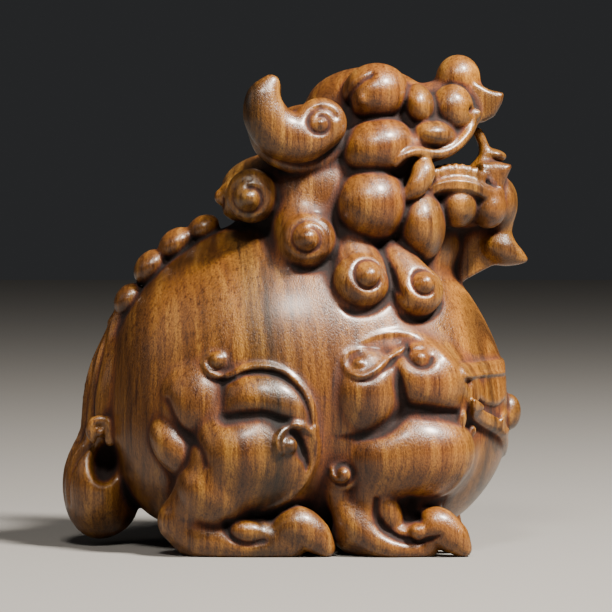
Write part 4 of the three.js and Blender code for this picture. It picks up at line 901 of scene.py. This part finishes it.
def settle(values):
    """In every unsound cube the corner changes sides that leaves the fewest unsound cubes round it,
    the nearest to the surface where several do as well."""
    table = sound_masks()
    size = tuple(n - 1 for n in values.shape)
    bits = np.array([(c & 1, c >> 1 & 1, c >> 2) for c in range(8)])
    powers = 1 << np.arange(8)
    changes = 0
    for _ in range(MOST_ROUNDS):
        inside = values < 0
        mask = np.zeros(size, np.uint8)
        for c, (i, j, k) in enumerate(bits):
            mask |= inside[i : i + size[0], j : j + size[1], k : k + size[2]].astype(np.uint8) << c
        unsound = np.argwhere(~table[mask])
        if not len(unsound):
            break
        for cube in unsound:
            reach = tuple(slice(max(n - 1, 0), n + 3) for n in cube)
            near = inside[reach]
            own = cube - [r.start for r in reach]
            if table[near[tuple((own + bits).T)] @ powers]:
                continue
            best = None
            for b in bits:
                corner = tuple(own + b)
                near[corner] ^= True
                left = 0
                for o in bits:
                    base = np.array(corner) - o
                    if (base >= 0).all() and (base + 1 < near.shape).all():
                        left += not table[near[tuple((base + bits).T)] @ powers]
                near[corner] ^= True
                cost = (left, abs(values[tuple(cube + b)]))
                if best is None or cost < best[0]:
                    best = (cost, tuple(cube + b))
            corner = best[1]
            inside[corner] ^= True
            values[corner] = PITCH * (-SIDE_STEP if inside[corner] else SIDE_STEP)
            changes += 1
    print("unsound cubes left:", len(unsound), "after", changes, "changes of side")


settle(whole)

# %% [markdown]
# Deep cuts that meet can shut a bubble of air in the wood, which no carver can make. The air is
# followed in from outside, and what it doesn't reach is filled.
#
# %% Shut-in air
def open_air(air):
    """The air that a way leads to from the edge of the box: it runs forth and back along each axis
    until no more is reached."""
    reached = air.copy()
    reached[1:-1, 1:-1, 1:-1] = False
    count = 0
    while np.count_nonzero(reached) > count:
        count = np.count_nonzero(reached)
        for axis in range(3):
            free, got = np.moveaxis(air, axis, 0), np.moveaxis(reached, axis, 0)
            for n in range(1, len(got)):
                got[n] |= free[n] & got[n - 1]
            for n in range(len(got) - 2, -1, -1):
                got[n] |= free[n] & got[n + 1]
    return reached


air = whole > 0
pockets = air & ~open_air(air)
whole[pockets] = -PITCH / 2
print("air shut in and filled:", int(pockets.sum()), "places")

# %% [markdown]
# Now the skin. Each cube that the surface passes through gets one vertex, at the mean of the places
# where the surface crosses the cube's edges, and each crossed edge gets one face from the four
# cubes round it. Blender's Volume to Mesh does much the same. Worked out here, each step shows.
#
# %% Skin
def skin(values, low):
    """Vertices at the mean crossing of each crossed cube, and a quad across each crossed edge."""
    inside = values < 0
    size = np.array(values.shape) - 1
    total = np.zeros((*size, 3), np.float32)
    crossings = np.zeros(size, np.uint8)
    others = {0: (1, 2), 1: (2, 0), 2: (0, 1)}
    quads = []
    crossed_edges = []
    for axis in range(3):
        near = [slice(None)] * 3
        far = [slice(None)] * 3
        near[axis], far[axis] = slice(0, -1), slice(1, None)
        near, far = tuple(near), tuple(far)
        places = np.argwhere(inside[near] != inside[far])
        f0 = values[near][tuple(places.T)]
        f1 = values[far][tuple(places.T)]
        point = places.astype(np.float32)
        point[:, axis] += f0 / (f0 - f1)
        b, c = others[axis]
        for db, dc in ((0, 0), (1, 0), (1, 1), (0, 1)):
            cube = places.copy()
            cube[:, b] -= db
            cube[:, c] -= dc
            np.add.at(total, tuple(cube.T), point)
            np.add.at(crossings, tuple(cube.T), 1)
        crossed_edges.append((axis, places, f0 < 0))
    cubes = np.argwhere(crossings > 0)
    spots = tuple(cubes.T)
    vertices = total[spots] / crossings[spots][:, None] * PITCH + low
    number = np.full(size, -1, np.int32)
    number[spots] = np.arange(len(cubes))
    for axis, places, starts_inside in crossed_edges:
        b, c = others[axis]
        ring = []
        for db, dc in ((1, 1), (0, 1), (0, 0), (1, 0)):
            cube = places.copy()
            cube[:, b] -= db
            cube[:, c] -= dc
            ring.append(number[tuple(cube.T)])
        ring = np.stack(ring, axis=1)
        ring[~starts_inside] = ring[~starts_inside, ::-1]
        quads.append(ring)
    return vertices, np.concatenate(quads)


vertices, quads = skin(whole, whole_low)
vertices[:, 2] = np.maximum(vertices[:, 2], 0)
print("skin:", len(vertices), "vertices,", len(quads), "quads")

# %% [markdown]
# The furrows of the carving get painted shade and a duller finish, and its crests keep the polish.
# Pointiness could tell which is which, but it is lost on export. So each place is asked how much of
# the cubes round it is wood: half on a flat, more in a furrow and less on a crest.
#
# %% Furrows and crests
NARROW, BROAD = 0.8, 2.6  # how far the two cubes reach each way, in millimetres


def wood_share(inside, reach):
    """The share of wood in the cube that reaches so many places each way, by running sums."""
    share = inside.astype(np.float32)
    for axis in range(3):
        padded = np.concatenate([np.repeat(np.take(share, [0], axis), reach + 1, axis), share,
                                 np.repeat(np.take(share, [-1], axis), reach, axis)], axis)
        sums = np.cumsum(padded, axis, dtype=np.float32)
        ahead = np.take(sums, np.arange(2 * reach + 1, sums.shape[axis]), axis)
        behind = np.take(sums, np.arange(0, sums.shape[axis] - 2 * reach - 1), axis)
        share = (ahead - behind) / (2 * reach + 1)
    return share


whole_inside = np.clip(0.5 - whole / PITCH, 0, 1)
narrow_share, broad_share = (wood_share(whole_inside, round(reach / PITCH)) for reach in (NARROW, BROAD))
print("least and most wood in narrow cubes:", np.round([narrow_share.min(), narrow_share.max()], 2))

# %% [markdown]
# The skin has far more faces than its flat stretches need. Decimate takes the least useful away and
# keeps the skin closed, where a coarser grid would blunt the carving everywhere.
#
# %% Thinning the skin
TRIANGLE_BUDGET = 190000


def mesh_from(name, points, faces):
    """A mesh from whole arrays of points and equal-sided faces."""
    mesh = bpy.data.meshes.new(name)
    mesh.vertices.add(len(points))
    mesh.vertices.foreach_set("co", np.asarray(points, np.float32).ravel())
    mesh.loops.add(faces.size)
    mesh.loops.foreach_set("vertex_index", faces.astype(np.int32).ravel())
    mesh.polygons.add(len(faces))
    mesh.polygons.foreach_set("loop_start", np.arange(0, faces.size, faces.shape[1], dtype=np.int32))
    mesh.update(calc_edges=True)
    mesh.validate()
    return mesh


def thinned(mesh, budget):
    """The mesh after Decimate has collapsed it to a budget of triangles, two to each quad."""
    helper = bpy.data.objects.new("thinning", mesh)
    bpy.context.scene.collection.objects.link(helper)
    decimate = helper.modifiers.new("fewer faces", "DECIMATE")
    decimate.ratio = min(1, budget / (2 * len(mesh.polygons)))
    shape = helper.evaluated_get(bpy.context.evaluated_depsgraph_get())
    result = bpy.data.meshes.new_from_object(shape)
    bpy.data.objects.remove(helper)
    return result


mesh = thinned(mesh_from("carved skin", vertices / PER_METRE, quads), TRIANGLE_BUDGET)
mesh.name = "carved pixiu"
print("thinned:", len(mesh.polygons), "faces")

# %% [markdown]
# Each vertex gets its recess value, from 0 on a crest through a half on a flat to 1 in a deep
# furrow, as an attribute of the mesh, which the material reads later. Then the figure is fitted to
# the CAD model's box, so that both have one size.
#
# %% The carved figure
INSET = 0.00002  # metres that the finished surface keeps inside the CAD box
NARROW_WEIGHT, BROAD_WEIGHT, CUT_WEIGHT = 1.2, 1.8, 0.3  # what each adds to the recess value
FULL_CUT = 0.5  # millimetres of cut that count in full

points = np.empty(3 * len(mesh.vertices), np.float32)
mesh.vertices.foreach_get("co", points)
points = points.reshape(-1, 3).astype(float)
places = points * PER_METRE
depth_in = (sampled(narrow_share, whole_low, places) - 0.5) * NARROW_WEIGHT
depth_in += (sampled(broad_share, whole_low, places) - 0.5) * BROAD_WEIGHT
depth_in += CUT_WEIGHT * np.clip(sampled(whole_cuts, whole_low, places) / FULL_CUT, 0, 1)
recess = mesh.attributes.new("recess", "FLOAT", "POINT")
recess.data.foreach_set("value", np.clip(0.5 + depth_in, 0, 1).astype(np.float32))

own_low, own_high = points.min(0), points.max(0)
room_low, room_high = cad_low + [INSET, INSET, 0], cad_high - INSET
stretch = (room_high - room_low) / (own_high - own_low)
points = room_low + (points - own_low) * stretch
mesh.vertices.foreach_set("co", points.astype(np.float32).ravel())
mesh.polygons.foreach_set("use_smooth", np.ones(len(mesh.polygons), bool))
mesh.update()
pixiu = bpy.data.objects.new("carved_pixiu", mesh)
bpy.context.scene.collection.objects.link(pixiu)
print("carved pixiu:", len(mesh.vertices), "vertices,", len(mesh.polygons), "faces")
print("stretched from the pattern by", np.round(stretch, 4))

# %% [markdown]
# The wood is a golden-brown hardwood with a straight grain that stands upright in the block,
# sanded, oiled and waxed to a soft gloss. An image could be wrapped round it, but real grain goes
# through the wood, so its pattern is worked out in Object coordinates and meets every cut as a
# block's would. Its colours are sRGB hex values, chosen for such wood.
#
# %% Colours and nodes
def linear(hex_colour):
    """An sRGB hex value as linear RGBA: each channel c goes to ((c + 0.055) / 1.055) ** 2.4."""
    channels = [int(hex_colour[n : n + 2], 16) / 255 for n in (1, 3, 5)]
    return [c / 12.92 if c <= 0.04045 else ((c + 0.055) / 1.055) ** 2.4 for c in channels] + [1]


wood = bpy.data.materials.new("waxed hardwood, straight grain")
wood.use_nodes = True
nodes, links = wood.node_tree.nodes, wood.node_tree.links
nodes.clear()


def add(kind, settings=None, stops=(), **inputs):
    """A node with its settings, a colour ramp's stops of (place, hex colour), and its inputs set to
    values or linked from other nodes' sockets. An input goes by name, or by number as in _0."""
    node = nodes.new(kind)
    for name, value in (settings or {}).items():
        setattr(node, name, value)
    for n, (place, colour) in enumerate(stops):
        stop = node.color_ramp.elements[n] if n < 2 else node.color_ramp.elements.new(place)
        stop.position = place
        stop.color = linear(colour)
    for name, value in inputs.items():
        socket = node.inputs[int(name[1:])] if name[0] == "_" else node.inputs[name.replace("_", " ")]
        if isinstance(value, bpy.types.NodeSocket):
            links.new(value, socket)
        else:
            socket.default_value = value
    return node


print("middle grey in linear light:", round(linear("#808080")[0], 3))

# %% [markdown]
# The block was sawn beside the heart of the tree, so the growth rings cross the figure as upright
# bands. The distance from the pith says which ring a place is in. The rings lean a little with
# height, and wander where the tree grew unevenly, which a noise in the same coordinates gives.
# Five patterns lie on them, each as large as on such wood. Real fibres are about 0.02 mm wide, too
# fine for the picture, so they are drawn 0.2 mm wide.
#
# %% Growth rings and grain
PITH = (0.036, -0.008, 0)  # metres: the tree's middle, in front of the chest
RING_SHAPE = (1, 1, 0.04)  # how much each axis counts in a ring's distance from the pith
WANDER = 0.006  # metres that a ring strays at most

where = add("ShaderNodeTexCoord").outputs["Object"]
from_pith = add("ShaderNodeVectorMath", {"operation": "SUBTRACT"}, _0=where, _1=PITH).outputs[0]
across_tree = add("ShaderNodeVectorMath", {"operation": "MULTIPLY"}, _0=from_pith, _1=RING_SHAPE).outputs[0]
ring_radius = add("ShaderNodeVectorMath", {"operation": "LENGTH"}, _0=across_tree).outputs["Value"]
split = add("ShaderNodeSeparateXYZ", Vector=where).outputs
sheets = add("ShaderNodeCombineXYZ", X=ring_radius, Y=split["Y"], Z=split["Z"]).outputs[0]

patterns = {}
for name, coordinates, sizes, detail, rough in [
    ("wander", sheets, (30, 22, 40), 2, 0.55),  # sizes in millimetres, the last along the grain
    ("streaks", sheets, (1.6, 12, 45), 4, 0.6),
    ("fine grain", where, (0.5, 0.5, 16), 4, 0.7),
    ("fibres", where, (0.2, 0.2, 0.4), 2, 0.6),
    ("pores", where, (0.16, 0.16, 3.2), 1, 0.5),
]:
    scale = [PER_METRE / size for size in sizes]
    stretched = add("ShaderNodeMapping", Vector=coordinates, Scale=scale).outputs["Vector"]
    noise = add("ShaderNodeTexNoise", Vector=stretched, Scale=1.0, Detail=detail, Roughness=rough)
    patterns[name] = noise.outputs["Fac"]
print("patterns:", ", ".join(patterns))

# %% [markdown]
# The ring colours run from the pith outwards: golden at the chest, then red-brown, one olive-grey
# band, and a lighter gold behind it. Noise alone would put such bands anywhere, so a ramp over the
# distance from the pith lists them. Streaks of a second scale are mixed in.
#
# %% Colour of the rings
RING_SPAN = 80.0  # millimetres from the pith that the list of rings covers
STREAK_SHARE = 0.37
# the dark ring at 9.6 mm lies on the front edge of the chest and paints the shade that falls there; the
# others are the wood's own bands
rings = [
    (2, "#7b4e22"), (7, "#6d461f"), (9.6, "#402c14"), (12.4, "#996a28"), (14.6, "#6c4620"), (17.5, "#5d401e"),
    (21, "#7c5224"), (25, "#6a3e1b"), (29, "#6f4820"), (34, "#563419"), (40, "#67421e"), (44.5, "#4d3318"),
    (46.4, "#1c1609"), (48.4, "#20190a"), (50, "#744f1c"), (51.4, "#4c2c12"), (53.4, "#65441a"),
    (56, "#5a3919"), (61, "#704a25"), (66, "#523419"), (73, "#6a461f"),
]
streak_colours = [(0.34, "#2b1908"), (0.45, "#5a3916"), (0.54, "#845a23"), (0.64, "#af823c")]

strayed = add(
    "ShaderNodeMath", {"operation": "MULTIPLY_ADD"}, _0=patterns["wander"], _1=WANDER, _2=ring_radius
).outputs[0]
ring_share = add("ShaderNodeMath", {"operation": "MULTIPLY"}, _0=strayed, _1=PER_METRE / RING_SPAN).outputs[0]
ring_stops = [(radius / RING_SPAN, colour) for radius, colour in rings]
ground = add("ShaderNodeValToRGB", stops=ring_stops, Fac=ring_share).outputs["Color"]
streaks = add("ShaderNodeValToRGB", stops=streak_colours, Fac=patterns["streaks"]).outputs["Color"]
coloured = add("ShaderNodeMix", {"data_type": "RGBA"}, _0=STREAK_SHARE, _6=ground, _7=streaks).outputs[2]
print("rings:", len(rings))

# %% [markdown]
# Fine grain, fibres, open pores and the painted shade in the furrows only darken the wood. So each
# multiplies the colour below it, by a share: white leaves it as it is.
# the colour below it, by a share: white leaves it as it is.
#
# %% Grain, pores and painted furrow shade
recess_value = add("ShaderNodeAttribute", {"attribute_name": "recess"}).outputs["Fac"]
# painted shade: the deeper a place lies in a furrow or crease, the darker its colour is painted
painted_furrow_shade = [(0.3, "#fffaf0"), (0.52, "#f6ecd8"), (0.64, "#cda66a"), (0.8, "#8a5c2c"), (0.95, "#4a2c12")]
for pattern, stops, share in [
    (patterns["fine grain"], [(0.34, "#98795a"), (0.5, "#ffffff"), (0.7, "#fff4de")], 0.9),
    (patterns["fibres"], [(0.35, "#a89888"), (0.6, "#ffffff")], 0.7),
    (patterns["pores"], [(0.24, "#3b2412"), (0.33, "#ffffff")], 0.3),
    (recess_value, painted_furrow_shade, 1.0),
]:
    tint = add("ShaderNodeValToRGB", stops=stops, Fac=pattern).outputs["Color"]
    multiply = {"data_type": "RGBA", "blend_type": "MULTIPLY"}
    coloured = add("ShaderNodeMix", multiply, _0=share, _6=coloured, _7=tint).outputs[2]
print("nodes so far:", len(nodes))

# %% [markdown]
# A cloth takes wax to the crests and leaves it out of the furrows. So the furrows are dull and bare,
# and everything else has a satin gloss under a thin coat. Sanded fibres still show as fine dents.
#
# %% Wax
FURROW = {"_1": 0.53, "_2": 0.72}  # the recess values where a furrow starts and is full
SATIN, BARE = 0.35, 0.85  # roughness of waxed wood, and of bare wood in a furrow
COAT = 0.35  # how much of a coat the wax gives
DENT = 0.0002  # metres: the depth of the fibres' dents

dull = add("ShaderNodeMapRange", Value=recess_value, _3=SATIN, _4=BARE, **FURROW).outputs["Result"]
waxed = add("ShaderNodeMapRange", Value=recess_value, _3=COAT, _4=0.0, **FURROW).outputs["Result"]
dents = add("ShaderNodeBump", Height=patterns["fibres"], Strength=0.45, Distance=DENT)
shader = add(
    "ShaderNodeBsdfPrincipled",
    Base_Color=coloured,
    Roughness=dull,
    IOR=1.4,
    Coat_Weight=waxed,
    Coat_Roughness=0.22,
    Normal=dents.outputs["Normal"],
)
add("ShaderNodeOutputMaterial", Surface=shader.outputs["BSDF"])
pixiu.data.materials.clear()
pixiu.data.materials.append(wood)
print("waxed hardwood:", len(nodes), "nodes")

# %% [markdown]
# The carving rides on the CAD model's one body and stands for its one node, which stays in the
# physics model for collision. One piece of wood is one object, with nothing to parent or join.
#
# %% Into the frame
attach(pixiu, "root")
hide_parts("carved_figure")
print(pixiu.name, "rides on root")

# %% [markdown]
# The floor is plain and pale, so that nothing draws the eye from the carving. It is far larger than
# the picture, so that no edge of it shows.
#
# %% Floor
FLOOR_HALF = 1.5  # metres from the middle of the floor to its edges

corners = np.array([[-1, -1, 0], [1, -1, 0], [1, 1, 0], [-1, 1, 0]]) * FLOOR_HALF
floor = bpy.data.objects.new("floor", mesh_from("floor", corners, np.array([[0, 1, 2, 3]])))
bpy.context.scene.collection.objects.link(floor)
card = bpy.data.materials.new("matt grey card")
card.use_nodes = True
nodes, links = card.node_tree.nodes, card.node_tree.links
nodes.clear()
matt = add("ShaderNodeBsdfPrincipled", Base_Color=linear("#6e6c69"), Roughness=0.9)
add("ShaderNodeOutputMaterial", Surface=matt.outputs["BSDF"])
floor.data.materials.append(card)
floor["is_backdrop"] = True
print("floor:", 2 * FLOOR_HALF, "m square")

# %% [markdown]
# Three soft lamps make the studio: the key high on the camera's right, a weaker box high in front
# that lays the sheen on the flank, and a faint fill from the left. A carving needs one clear side
# of shade, so the fill and the air stay weak.
#
# %% Lamps
middle = (cad_low + cad_high) / 2
for name, place, size, watts, colour in [
    ("key from the right", (0.27, -0.2, 0.48), 0.09, 18, "#fff8ee"),
    ("front soft box", (-0.03, -0.34, 0.42), 0.1, 2.7, "#fff8ee"),
    ("left fill", (-0.5, -0.1, 0.3), 0.3, 0.3, "#ece6e0"),
]:
    data = bpy.data.lights.new(name, "AREA")
    data.size = size
    data.energy = watts
    data.color = linear(colour)[:3]
    box = bpy.data.objects.new(name, data)
    box.location = place
    box.rotation_euler = (Vector(middle) - Vector(place)).to_track_quat("-Z", "Y").to_euler()
    bpy.context.scene.collection.objects.link(box)
    print(name, "gives", watts, "W")

world = bpy.data.worlds.new("studio air")
world.use_nodes = True
air_light = world.node_tree.nodes["Background"].inputs
air_light["Color"].default_value = linear("#e8ebf0")
air_light["Strength"].default_value = 0.03
bpy.context.scene.world = world

# %% [markdown]
# The camera looks along +Y from the figure's right side, a little above the level, from far
# enough away that the near and far legs differ little in size.
#
# %% Camera
VIEW_DISTANCE = 0.7  # metres from the middle plane
VIEW_RISE = math.radians(2)  # how far above the level the camera is
TARGET = Vector((0.0018, 0, 0.039))  # what the middle of the picture looks at
PIXELS_PER_METRE = 6120  # on the middle plane
PICTURE = 612  # pixels across
SENSOR = 36  # millimetres across
NEAREST = 0.01  # metres: what is nearer to the camera isn't drawn

camera_data = bpy.data.cameras.new("camera")
camera_data.sensor_width = SENSOR
camera_data.lens = SENSOR * VIEW_DISTANCE * PIXELS_PER_METRE / PICTURE
camera_data.clip_start = NEAREST
camera = bpy.data.objects.new("camera", camera_data)
camera.location = TARGET + VIEW_DISTANCE * Vector((0, -math.cos(VIEW_RISE), math.sin(VIEW_RISE)))
camera.rotation_euler = (TARGET - camera.location).to_track_quat("-Z", "Y").to_euler()
bpy.context.scene.collection.objects.link(camera)
bpy.context.scene.camera = camera
print("lens:", round(camera_data.lens, 1), "mm")

# %% [markdown]
# Last, the box of what was made is written beside the CAD model's, in metres, so that the two can
# be compared, and the frame checks that every piece rides on its body.
#
# %% Sizes and finish
own = [[float(value) for value in corner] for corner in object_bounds()]
sizes = {"cad": [cad_low.tolist(), cad_high.tolist()], "visual": own}
print("visual box in mm:", np.round(np.array(own) * 1000, 2))
